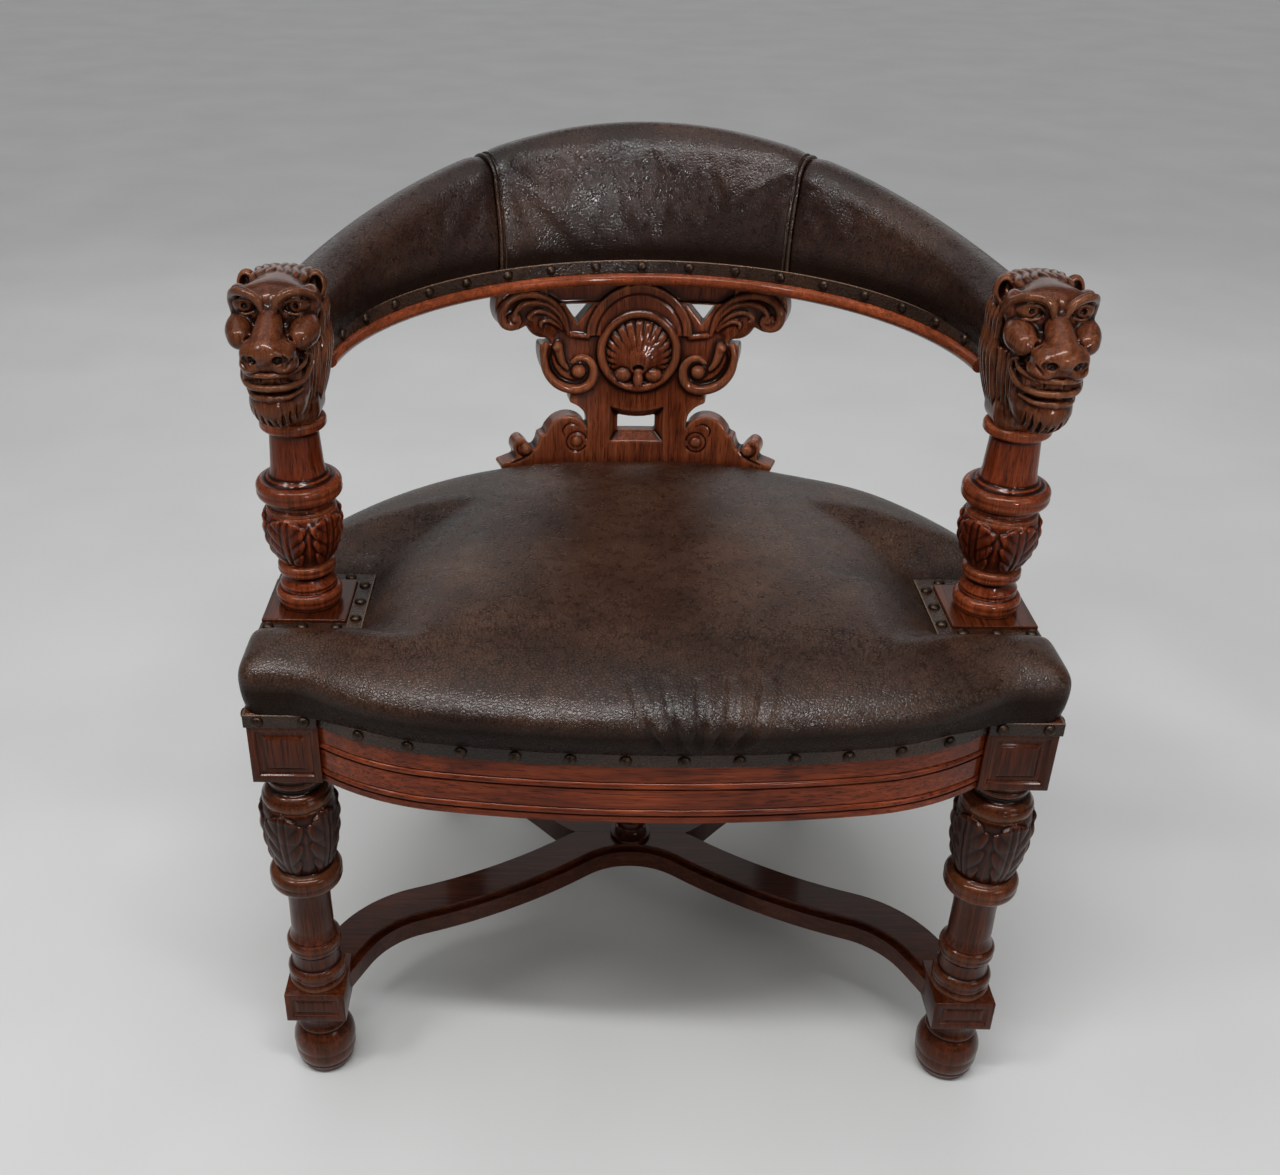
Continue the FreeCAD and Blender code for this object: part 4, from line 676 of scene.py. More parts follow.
def front_leg():
    """The right leg's shell about its own axis."""
    b, low_b = BLOCK_HALF, LOW_BLOCK_HALF
    foot = profile([(22, 0), (23.4, 1.2), (26.6, 8.5), (27.4, 10), (26.4, 11.2), (27.8, 12.6),
                    (29.6, 27, 29.6, 20), (22.4, 52, 28, 43.5), (22.6, 53.4), (23.6, 54.4),
                    (23.8, 57, 24.2, 55.6), (22.4, 59.6), (21.6, 67, 21.4, 63), (24, 75, 22.4, 72),
                    (26, 77)])
    collar = profile([(26.4, 110.5), (26.8, 112), (26.8, 116), (25.6, 117), (25.6, 118.4),
                      (26.8, 125.5, 26.9, 121.4), (24, 134.4, 26.4, 131.6), (23, 135), (22.6, 136.4),
                      (22.4, 138), (22.6, 149.5), (23.2, 151.4), (25, 159.5, 25, 154.6),
                      (22.8, 167, 25, 164.6), (22.2, 167.8), (22, 169), (20, 182, 20.4, 174), (19.6, 206),
                      (20.6, 226, 19.9, 217), (22, 231.4), (24, 232.6), (28, 233), (32.6, 243.5, 32, 236.6),
                      (28.6, 254, 32, 251), (26.6, 254.4), (26.4, 256)])
    bulb_line = profile([(24, 254.5), (33.2, 300, 30.4, 276), (32.6, 321, 34, 311),
                         (29.4, 331, 31.6, 327.6)], fine=0.75)
    cap = profile([(29, 329), (30.8, 330), (31.4, 333), (29.4, 340, 31.4, 336.8), (24, 345.6, 27, 343.8),
                   (22.4, 347.4), (22.2, 350), (23.4, 351.4), (25.2, 354.6, 25.2, 352.6),
                   (23.6, 357.6, 24.9, 356.8), (24.2, 359), (28.4, 366, 26.6, 361.8)])
    leaves = leaf_bulb(LEG_LEAF_Z, LEG_LEAF_HIGH, LEG_LEAF_SWELL)
    return joined([lathe(foot), rounded_slab((-low_b, -low_b, 77), (low_b, low_b, 111), LOW_FIELD),
                   lathe(collar), lathe(bulb_line, BULB_SIDES, leaves), lathe(cap),
                   rounded_slab((-b, -b, FRAME_BOTTOM), (b, b, FRAME_TOP - GIMP_DROP), FIELD),
                   rounded_slab((-b, -b, FRAME_TOP - GIMP_DROP), (b, b, FRAME_TOP))])


def both_sides(node, right, left, place, finish):
    """The right-hand and the left-hand piece of a carved pair."""
    x, y, z = place
    for hand, shell, side in (("right", right, 1), ("left", left, -1)):
        name = f"{node}_{hand}"
        piece(name + "_carved", *moved(shell, side * x, y, z), finish, OAK, [name])


leg = front_leg()
both_sides("leg_front", leg, mirrored(leg), (LEG_X, LEG_Y, 0), oak_shaded_upright)


# Arm posts: leaf-carved bulb under a turned shaft

def arm_post():
    """The right post's shell about its own axis."""
    base = profile([(26.4, 471.6), (27, 473.4), (27.2, 474.6), (28.8, 480.5, 28.8, 476.6),
                    (25.8, 488, 28.4, 486), (24.8, 488.6), (24.6, 490.2), (24, 491.4),
                    (24.2, 495, 24.8, 493.2), (20.8, 499.6), (20.6, 502.4), (21.8, 504),
                    (25, 509.4, 25, 505.4), (22.2, 515, 24.8, 513.4), (21, 516)])
    bulb_line = profile([(20.6, 514.6), (33, 547, 28.6, 528), (29.6, 566, 32.6, 558)], fine=0.7)
    shaft = profile([(29, 565), (30, 566.4), (30, 568), (28.6, 569.2), (27.4, 572, 27.4, 570.4),
                     (28.6, 576, 27.6, 574.6), (31.4, 576.8), (36.5, 585.6, 35.8, 579.4),
                     (30.8, 594.2, 35.6, 592), (27.6, 594.8), (27.2, 596.6), (24.6, 597.6), (24, 599.4),
                     (22.4, 612, 23, 605), (21, 634), (21.8, 639.4, 21, 637.4), (25.6, 640.2),
                     (28, 645, 27.6, 641.6), (25.8, 650, 27.6, 648.6), (22, 650.6)])
    leaves = leaf_bulb(POST_LEAF_Z, POST_LEAF_HIGH, POST_LEAF_SWELL)
    return joined([lathe(base), lathe(bulb_line, BULB_SIDES, leaves), lathe(shaft)])


post = arm_post()
both_sides("arm_post", post, mirrored(post), (POST_X, POST_Y, 0), oak_upright)


# Lion heads

def lion_head():
    """One head about its post, its neck at height 0 and the face towards -Y."""
    back = HEAD_BACK_Y - POST_Y
    c = Carving((-46, -93, -3), (46, back + 3, 133), 0.9)
    c.box((0, 14, 70), (31, 24, 48), 18, 8)
    c.ball((0, 6, 36), (28, 29, 30), 8)
    c.box((0, 0, 14), (26.5, 26.5, 18), 14, 6)
    c.ball((0, -10, 90), (32, 36, 32.5), 8)
    c.box((0, -24, 58), (25, 24, 32), 15, 8)
    # muzzle, bridge and nose
    c.ball((0, -24, 104), (31, 22, 18.5), 4)
    c.box((0, -54, 75), (21.5, 25, 14), 12, 5)
    c.rope([(0, -34, 106), (0, -43, 99.5), (0, -57, 90), (0, -69, 81)], [6.5, 9, 11.5, 13], 2)
    c.ball((0, -71, 80), (16, 13, 10.5), 2)
    c.knob((11.5, -71, 76), (8, 10.5, 7), 2)
    c.knob((11.5, -63, 68.6), (11.5, 16, 7.4), 1.8)
    c.groove([(10.5, -50, 101), (14, -57, 93), (17, -64, 86)], [1.6, 2.4, 1.4], 1.6)
    c.groove([(5, -84, 76), (8, -83.5, 72.5), (12.5, -81, 71.5), (16, -77.5, 75), (14.5, -79, 79)],
             [1.4, 3.2, 3.5, 2.4, 1.0], 0.6)
    c.hollow((10.8, -83, 75), (5.2, 8, 4.6), 0.8)
    c.groove([(20, -73, 74), (13, -80, 67.8), (4, -83, 69)], [1.2, 1.6, 1.2], 1)
    c.rope([(0, -86, 71), (0, -82, 66), (0, -81, 60)], [1.2, 1.5, 1.3], 1, cut=True)
    # cheeks
    c.ridge([(22, -26, 92), (25, -38, 87), (24, -49, 84)], [10.5, 12.4, 10], 3.5)
    c.groove([(13.5, -52, 97), (15.5, -57, 87), (20, -57, 76), (26.5, -48, 68.5)], [1.6, 2.4, 2.6, 1.6],
             1.4)
    # jaw, mouth and lips
    c.ball((0, -42, 32), (23, 33, 23), 5)
    c.ball((0, -57, 33), (17.5, 14, 14), 3)
    c.groove([(27.5, -38, 62), (25, -50, 56.5), (15.5, -69, 55.5), (0, -75, 56)], [2, 4.6, 6, 6.2], 0.8)
    c.groove([(21.5, -50, 56), (13, -63, 55.5), (0, -68, 56)], [4, 5.6, 5.8], 0.8)
    c.ridge([(17, -42, 56), (10, -55, 55.5), (0, -59.5, 56)], [6, 6.4, 6.4], 0.8)
    c.box((0, -40, 57), (23, 24, 10), 7, 1)
    for x, y in ((2.6, -66.4), (7.8, -64), (12.6, -58.5), (17, -52)):
        c.groove([(x, y, 61), (x, y, 50)], 0.9, 0.5)
    c.ridge([(25.5, -41, 68), (24, -53, 63), (15, -71.5, 62.3), (0, -78.5, 62.8)], [1.4, 1.8, 2.0, 2.0],
            0.8)
    c.ridge([(24.8, -45, 70.5), (27, -37, 66), (26.5, -38, 58), (23.6, -53, 52), (14.6, -69, 51),
             (0, -75, 51.4)], [1.2, 1.9, 2.3, 2.6, 2.7, 2.7], 0.8)
    c.groove([(22.5, -54, 47), (14, -68.5, 46.4), (0, -74.6, 46.8)], [0.9, 1.5, 1.6], 0.6)
    c.ridge([(21.5, -52, 43), (14, -66.5, 42), (0, -72.6, 42.4)], [1.4, 2.0, 2.2], 2.2)
    for x in (0, 5.2, 10.4, 15.0):
        lean = 0.045 * x * x
        c.groove([(x + 2.6, -73 + lean, 33), (x + 2.4, -70.5 + lean, 24), (x + 1.8, -63 + lean, 15)],
                 [0.5, 1.6, 2.2], 0.6)
    # eyes under double brows
    c.knob((28.5, -22, 105), (8, 13, 13), 4)
    c.hollow((20.4, -51, 107), (12.4, 15.5, 10), 1.6)
    c.knob((20.8, -31.5, 106.4), (10, 11, 8.2), 0.6)
    c.ridge([(9.4, -41, 105), (13, -42.4, 109.6), (19.5, -42.4, 111.8), (26, -38.4, 109.4),
             (30.2, -32, 102)], [0.9, 1.2, 1.4, 1.3, 0.9], 0.6)
    c.ridge([(9.6, -41, 104.6), (15, -42.4, 101), (22.5, -40.6, 100), (29, -34.5, 101.4)],
            [0.8, 1.1, 1.1, 0.8], 0.6)
    c.hollow((19.5, -43, 106.4), (3.2, 3.2, 3.2), 0.5)
    c.ridge([(5, -49, 106), (8, -49, 113.6), (15, -47, 118), (23, -42.6, 118.6), (29.6, -34.5, 114.5),
             (33, -25, 106), (34.2, -17, 94), (33.4, -11, 76)], [2.4, 3.5, 3.8, 3.8, 3.7, 3.5, 3.1, 2.2],
            1.8)
    c.groove([(10, -52, 111.8), (16, -50.6, 115.4), (23.5, -46.4, 115.4), (30, -37.6, 110.5)],
             [0.6, 1.0, 1.0, 0.6], 0.6)
    c.groove([(11, -48.6, 119), (17, -46.8, 122.2), (25.4, -41, 121.4), (32.6, -30.6, 115.6)],
             [0.5, 0.9, 0.9, 0.5], 0.6)
    c.rope([(0, -31, 127), (0, -42, 120), (0, -48.5, 108)], [2.4, 3.8, 2.2], 1.6, cut=True)
    c.groove([(3.5, -40, 122), (2.6, -46.5, 113), (4.5, -50, 103)], [0.6, 1.1, 0.7], 0.8)
    # ears, forelock and mane
    c.knob((27.5, 10, 108), (9, 8, 13), 1.4)
    c.hollow((28.5, 2.5, 109.5), (5.6, 6.4, 9), 0.8)
    c.ridge([(23.5, 3, 100.5), (26, 1, 104.5), (27.5, 4, 110)], [1.3, 1.8, 1.1], 0.8)
    for x, top in ((0, 117.5), (6.4, 117.2), (12.8, 116.4), (18.6, 114.6)):
        c.rope([(x * 1.05, 33, top - 2), (x + 1.6, 22, top + 1), (x - 1.4, 11, top + 2),
                (x + 1.4, 0, top + 2), (x * 0.94, -10, top - 0.5), (x * 0.96, -18, top - 3)],
               [3.6, 3.8, 3.7, 3.5, 2.8, 1.4], 0.7, pair=x > 0)
    for y, out in ((-7, 31.2), (1.5, 31.8), (10, 32.2), (18.5, 32), (27, 31)):
        c.ridge([(out - 5, y + 3, 100), (out - 0.4, y - 1, 90), (out - 1.6, y + 2.6, 76),
                 (out + 0.4, y - 0.5, 60), (out - 2.2, y + 2, 44), (26.5, y * 0.8, 27), (21.5, y * 0.6, 9)],
                [3, 4, 3.8, 4.1, 4, 3.6, 3], 0.7)
        c.groove([(out + 2.2, y + 4.4, 98), (out + 3, y + 3.6, 84), (out + 2.8, y + 5, 68),
                  (out + 2.4, y + 4, 52), (out - 2.5, y + 4, 36), (24.8, y * 0.8 + 4, 20)],
                 [0.5, 0.9, 0.9, 0.9, 0.8, 0.5], 0.5)
    c.groove([(25.6, -30, 52), (24.4, -34, 40), (21.4, -35, 26)], [0.6, 1.1, 0.7], 0.6)
    for y, out in ((-13, 29), (-20, 27), (-27, 25.4), (-33.5, 23.8)):
        c.ridge([(out, y + 1, 66), (out - 1, y - 3, 52), (out - 3, y - 2, 38), (out - 5.5, y + 1, 24),
                 (out - 8, y + 4, 10)], [2.2, 3.2, 3.2, 2.8, 2.2], 0.7)
    x, y, z = c.grids()
    c.keep(np.maximum(y - back, -z) + 0 * x)
    points, quads = c.shell()
    return smoothed(points, quads, 1, 0.3), quads.tolist()


head = lion_head()
both_sides("lion_head", head, head, (POST_X, POST_Y, POST_TOP), oak_handled)


# Back splat: carved flat in its own plane, then bent to the back's curve and leant

# middle and radius of the face's curve, thickness, and lean in degrees about the foot
SPLAT_CURVE_Y, SPLAT_FACE_R, SPLAT_THICK, SPLAT_LEAN = -235.0, 448.0, 24.0, 3.0
SPLAT_FOOT_Y = 225.0
SHELL_Z = 602.5
ARCH_Z = 617.5
# half of the outline as (x, height) points
SPLAT_EDGE = [(126, FRAME_TOP), (143, 474), (147, 482.5), (139, 486), (130.5, 489.5), (133, 499),
              (131, 507), (124, 510.8), (117, 505), (112, 497.5), (108.5, 498.5), (105.5, 504),
              (103.5, 511), (98, 514), (95.5, 519.5), (87, 528.5), (75, 532.6), (64, 530.5), (56.5, 524.5),
              (53, 518), (53.6, 528), (56, 535.5), (63, 542.8), (70.5, 547), (72, 550), (71.8, 558),
              (80, 561.5), (90, 569), (99, 581.5), (103.5, 597), (103, 611), (96, 611.5), (92.5, 614),
              (97.5, 621), (104, 629.5), (111.5, 634.8), (117, 634), (121, 631), (130, 628), (140, 630.5),
              (147, 637.5), (150.3, 649), (149, 661), (143, 668.5), (139, RAIL_BASE)]


def edge_distance(x, z, corners):
    """Distance of plane points from a closed outline, negative inside."""
    corners = np.asarray(corners, float)
    near = np.full(np.broadcast(x, z).shape, 1e6)
    inside = np.zeros(near.shape, bool)
    for (ax, az), (bx, bz) in zip(corners, np.roll(corners, -1, axis=0)):
        rx, rz = bx - ax, bz - az
        t = np.clip(((x - ax) * rx + (z - az) * rz) / max(rx * rx + rz * rz, 1e-9), 0, 1)
        near = np.minimum(near, (x - ax - t * rx) ** 2 + (z - az - t * rz) ** 2)
        crosses = ((az > z) != (bz > z)) & (x < ax + (z - az) * rx / (rz if rz else 1e-9))
        inside ^= crosses
    return np.sqrt(near) * np.where(inside, -1, 1)


def circle(centre, radius, turns):
    """Points on a circle in the splat's face."""
    x, y, z = centre
    return [(x + radius * math.cos(a), y, z + radius * math.sin(a)) for a in turns]


def back_splat():
    """Pierced board with an arch, a shell, scrolls and brackets carved on its face."""
    c = Carving((-154, -12, FRAME_TOP - 2), (154, SPLAT_THICK + 2, RAIL_BASE + 2), 1.15)
    half = np.vstack([SPLAT_EDGE[:1], strand(SPLAT_EDGE[1:-1], 4), SPLAT_EDGE[-1:]])
    outline = np.vstack([half, half[::-1] * (-1, 1)])
    x, y, z = c.grids()
    plan = edge_distance(x[:, 0], z[0], outline)[:, None, :]
    # small triangle pierced on each side of the arch
    for side in (-1, 1):
        hole = [(side * a, b) for a, b in ((48.5, 652.5), (77, 652.5), (64.5, 633))]
        plan = np.maximum(plan, -edge_distance(x[:, 0], z[0], hole)[:, None, :])
    # window with a dipped top and bevelled edges
    dip = 4.0 * (1 - (x / 24) ** 2)
    window = np.maximum(np.abs(x) - 19.5 + 0 * y, np.maximum(z - 531.5 + dip, 512 - z))
    bevel = window - np.clip(9.5 - y, 0, 9.5)
    board = np.maximum(y - SPLAT_THICK, -y)
    arris = 1.6
    rim = np.hypot(np.maximum(plan + arris, 0), np.maximum(board + arris, 0)) - arris
    solid = np.maximum(plan, board)
    solid = np.maximum(np.where(solid < -arris, solid, rim), -np.minimum(window, bevel))
    # top board set back behind the arch and the arms
    set_back = np.maximum(np.maximum(654.5 - z, np.abs(x) - 96), y - 4.5)
    c.field = np.maximum(solid, -set_back).astype(np.float32)
    # arch over the shell, with a groove inside it
    arch = np.maximum(np.maximum(np.hypot(x, z - ARCH_Z) - 54.8, ARCH_Z + 2 - z), np.abs(y - 9) - 11.2)
    c.meld(slice(None), arch, 1.2, False)
    c.rope(circle((0, -2.4, ARCH_Z), 45.2, np.radians(np.linspace(-4, 184, 17))), 1.5, 0.6, cut=True)
    c.ridge([(53, 0.5, 618.5), (61, 0.5, 619.5), (70, 1, 621)], 2.4, 1.5)
    # shell in its ring
    c.ball((0, -2, SHELL_Z), (36.5, 9, 36.5), 1.0, cut=True)
    c.ball((0, 3.5, SHELL_Z - 1), (34, 10.5, 34), 1.5)
    c.ball((2, -2.5, SHELL_Z - 7), (16, 6, 11), 6)
    hub = np.array((0.0, SHELL_Z - 15))
    for a in np.radians(np.linspace(-12, 192, 16)):
        way = np.array((math.cos(a), math.sin(a)))
        reach = 47 if math.sin(a) > 0.9 else 30 + 17 * max(0, math.sin(a))
        inner, outer = hub + (10 + 7 * max(0, math.sin(a))) * way, hub + reach * way
        mid = (inner + outer) / 2
        c.rope([(inner[0], -8.2, inner[1]), (mid[0], -5.6, mid[1]), (outer[0], 0.5, outer[1])],
               [0.4, 1.0, 1.9], 0.9, cut=True)
    c.ball((0, -5, SHELL_Z - 17), (6, 5, 5), 1, cut=True)
    c.knob((16, -1.5, SHELL_Z - 24.5), (9, 7.5, 8), 1.0)
    c.rope([(0, -1.5, SHELL_Z - 22), (0, -2.5, SHELL_Z - 29), (0, -2, SHELL_Z - 36)], [5, 5.6, 4.5], 0.8)
    c.groove([(20, -8, SHELL_Z - 22), (16, -9.5, SHELL_Z - 20), (12, -8, SHELL_Z - 23)], [0.6, 0.9, 0.6],
             0.6)
    c.rope(circle((0, 0.2, SHELL_Z), 39.6, np.linspace(0, 2 * math.pi, 33)), 4.6, 0.6)
    # side scrolls: hollow leaf whose rolled rim runs round under it into a volute
    c.ridge([(97, 1.5, 612), (100, 0.5, 599), (97, -0.5, 583), (88, -1.5, 571), (76, -2, 564.5),
             (63, -2.5, 563), (53, -3, 567), (47.8, -3.5, 576), (48, -4, 587), (54, -4.5, 595.5),
             (63, -4.5, 597.5), (70, -4, 593)], [3, 3.7, 4.3, 4.9, 5.2, 5.2, 5, 4.7, 4.3, 3.8, 3.2, 2.4],
            1.0)
    c.groove([(91, 0, 606), (92.5, 0, 596), (89, -0.5, 584.5), (81, -1, 575.5), (72, -1.5, 571.5),
              (63, -2, 570.5), (56, -2.5, 575), (54.5, -3, 583), (58, -3.5, 589.5)],
             [1, 2.2, 3, 3, 2.6, 2.2, 2, 1.8, 1.2], 1.2)
    c.knob((63, -1, 582), (7.4, 8, 7.4), 0.8)
    c.ridge([(85, -2, 610), (83.5, -3, 602), (80.5, -3, 593), (75.5, -2.5, 586)], [4.6, 4.4, 3.6, 2.2], 2.0)
    c.knob((86.5, -3.5, 609), (4.6, 4.4, 4.4), 1.0)
    c.groove([(81, -6.2, 607), (80, -6.4, 600), (77.5, -6, 592)], [0.5, 0.9, 0.5], 0.6)
    c.groove([(88.5, -6.5, 605.5), (85, -7.6, 604.5), (82.5, -7, 607.5)], [0.6, 1.0, 0.5], 0.5)
    # upper arms: flowing leaf that rolls over at its end
    c.knob((99, 5, 640), (20, 9, 22), 4)
    for ridge, radii in (([(74, 1, 622), (79, 0, 641), (91, -1, 656), (107, -2, 664), (124, -2, 665),
                           (138, -2, 659), (145, -2, 648), (142, -2.5, 637), (133, -3, 633.5),
                           (127, -3.5, 638)], [1.8, 2.6, 3.2, 3.6, 4, 4.4, 4.8, 4.8, 4.2, 3.0]),
                         ([(75, 1, 624), (83, -1.5, 641), (95, -3, 652.5), (110, -4, 657), (124, -4.5, 655),
                           (131.5, -4.5, 647.5), (127, -4.5, 643.5)], [1.2, 2.2, 2.7, 2.9, 2.9, 2.5, 1.6]),
                         ([(77, 1, 625), (87, -2, 638), (98, -4, 646), (109, -5, 648), (117, -5, 643),
                           (112.5, -5, 639)], [1.0, 2.0, 2.5, 2.6, 2.2, 1.4]),
                         ([(79, 1, 625), (88, -2.5, 633.5), (96, -4.5, 638), (103.5, -5, 636.5),
                           (103.5, -5, 631.5)], [0.9, 1.8, 2.2, 2.0, 1.3])):
        c.ridge(ridge, radii, 0.6)
    for groove in ([(80, -3.5, 635), (92, -5.5, 649), (108, -6.5, 655.5), (123, -7, 653), (128, -7, 648)],
                   [(82, -3.5, 633), (93, -6, 643), (106, -7.6, 647), (113, -7.6, 643)]):
        c.groove(groove, [0.4, 0.8, 0.9, 0.8, 0.4][:len(groove)], 0.4)
    c.knob((132, -1.5, 640), (8, 6.5, 8), 0.9)
    c.groove([(138, -6, 646), (135, -7.5, 639), (129, -7.5, 638), (128, -7.5, 643)], [1.3, 1.3, 1.1, 0.7],
             0.6)
    # brackets: sunk circles and rolled ends
    c.groove(circle((64, -0.5, 503.5), 10.8, np.linspace(-2.6, 2.9, 16)), 1.4, 0.8)
    c.knob((64, 0.5, 503.5), (5.6, 3.0, 5.6), 0.8)
    c.groove([(74.5, -0.2, 506), (79, -0.2, 517), (72, -0.2, 524), (62, -0.2, 521)], [0.6, 1.2, 1.2, 0.6],
             0.8)
    c.knob((119.5, 0, 498.5), (6, 4, 6), 0.9)
    c.groove([(111, -0.5, 502), (113.5, -0.8, 494), (120, -0.8, 490), (127, -0.6, 494),
              (128.5, -0.5, 501.5), (124, -0.5, 506)], [1.8, 1.8, 1.7, 1.5, 1.3, 0.8], 0.7)
    c.groove([(108, 0, 500), (121, 0.5, 489), (134, 1, 484)], [1.0, 1.2, 0.8], 0.8)
    x, y, z = c.grids()
    c.keep(np.maximum(np.maximum(FRAME_TOP - z, z - RAIL_BASE), -y - 9) + 0 * x)
    points, quads = c.shell()
    points = smoothed(points, quads, 1, 0.4)
    turn = points[:, 0] / SPLAT_FACE_R
    out = SPLAT_FACE_R + points[:, 1]
    bent = np.stack([out * np.sin(turn), SPLAT_CURVE_Y + out * np.cos(turn), points[:, 2]], axis=1)
    lean = math.radians(SPLAT_LEAN)
    dy, dz = bent[:, 1] - SPLAT_FOOT_Y, bent[:, 2] - FRAME_TOP
    bent[:, 1] = SPLAT_FOOT_Y + dy * math.cos(lean) + dz * math.sin(lean)
    bent[:, 2] = np.clip(FRAME_TOP - dy * math.sin(lean) + dz * math.cos(lean), FRAME_TOP, RAIL_BASE)
    return bent, quads.tolist()


piece("back_splat_carved", *back_splat(), oak_splat, OAK, ["back_splat"])


# Frame pieces that keep their solid's form, with worn arrises

for finish, arris, nodes in (
        (oak_across, 0.9, ["front_rail"]),
        (oak_across, 1.2, ["rear_rail"]),
        (oak_deep, 1.2, ["side_rail_left", "side_rail_right"]),
        (oak_shaded_deep, 1.6, ["arm_plinth_left", "arm_plinth_right"]),
        (oak_deep, 1.0, ["arm_rail_left", "arm_rail_right"]),
        (oak_shaded_upright, 1.8, ["leg_rear_left", "leg_rear_right"]),
        (oak_shaded_across, 3.6, ["stretcher_front_yoke", "stretcher_rear_yoke"]),
        (oak_shaded_upright, 0.6, ["stretcher_finial"])):
    for node in nodes:
        softened(node, node + "_worn", finish, OAK, arris)
for node in ("seat_gimp", "plinth_strip_left", "plinth_strip_right", "rail_gimp_inner", "rail_gimp_outer"):
    softened(node, node + "_strip", trim_hide, HIDE, 0.8, worn_edge_highlight=True)
softened("seat_webbing", "seat_webbing_woven", web_jute, "jute", 0.4)
softened("seat_hessian", "seat_hessian_woven", cloth_jute, "jute", 0.3)

for finish, nodes in (
        (beech, ["arm_rail_dowels", "seat_frame_dowels", "splat_dowels", "stretcher_dowels"]),
        (beech, ["corner_block_left", "corner_block_right", "plinth_cleat_left", "plinth_cleat_right"]),
        (screw_steel, ["corner_block_screws"])):
    for node in nodes:
        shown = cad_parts[node]
        shown.data.materials.clear()
        shown.data.materials.append(finish)


# Leather seat

SEAT_BASE = FRAME_TOP
SEAT_SHOULDER = 483.0
SEAT_TUCK = 13.6
HESSIAN_TOP = 6.0
FOOT_BAND = 3.2
# height of the leather at the plinths, and how far it rises away from them
PLINTH_WELL_Z, PLINTH_WELL_RISE = 465.5, 36.0
# heights and half widths of the splat's foot where the leather meets it
SPLAT_FOOT_Z, SPLAT_FOOT_HALF = (SEAT_BASE, 474, 486), (124, 141, 148)
SEAT_PINNED_Z = max(SEAT_BASE + 14, 466)
FAR = 1000.0


def tucked(x, y):
    """Share of the border's undercut: all of it along the bowed front, little over the legs and sides."""
    return 0.3 + 0.7 * np.clip((285 - np.abs(x)) / 45, 0, 1) * (y < -100)


def arcs_plan(start, heading, steps, fine=4.0):
    """Plan points along (radius, degrees) bends and (length,) runs."""
    x, y = start
    way = math.radians(heading)
    points = [(x, y)]
    for step in steps:
        if len(step) == 1:
            x, y = x + step[0] * math.cos(way), y + step[0] * math.sin(way)
            points.append((x, y))
            continue
        radius, turn = step[0], math.radians(step[1])
        side = 1 if turn > 0 else -1
        cx, cy = x - side * radius * math.sin(way), y + side * radius * math.cos(way)
        count = max(2, int(abs(turn) * radius / fine))
        for i in range(1, count + 1):
            a = way + turn * i / count
            points.append((cx + side * radius * math.sin(a), cy - side * radius * math.cos(a)))
        x, y = points[-1]
        way += turn
    return points


def seat_outline():
    """Half plan of the seat at its fullest, from the middle of the front round to the back."""
    bow, shoulder_x, shoulder, swage, corner = 1246.0, 180.0, 230.0, 40.0, 18.0
    block_y = LEG_Y - BLOCK_HALF - 5.5
    side_x = seat_high[0]
    sweep = math.asin(shoulder_x / bow)
    cx = (bow - shoulder) * math.sin(sweep)
    cy = SEAT_FRONT + bow - (bow - shoulder) * math.cos(sweep)
    reach = shoulder + swage
    turn = math.acos((cy - block_y + swage) / reach)
    run = side_x - corner - cx - reach * math.sin(turn)
    side_r, back_r = 290.0, 480.0
    side_cx = side_x - side_r
    rise = math.sqrt((back_r - side_r) ** 2 - side_cx ** 2)
    side_cy = REAR_Y + 5.0 - back_r + rise
    lean = math.degrees(math.atan2(side_cx, rise))
    return np.array(arcs_plan((0, SEAT_FRONT), 0,
                              [(bow, math.degrees(sweep)), (shoulder, math.degrees(turn - sweep)),
                               (swage, -math.degrees(turn)), (run,), (corner, 90.0),
                               (side_cy - block_y - corner,), (side_r, 90.0 - lean), (back_r, lean)]))


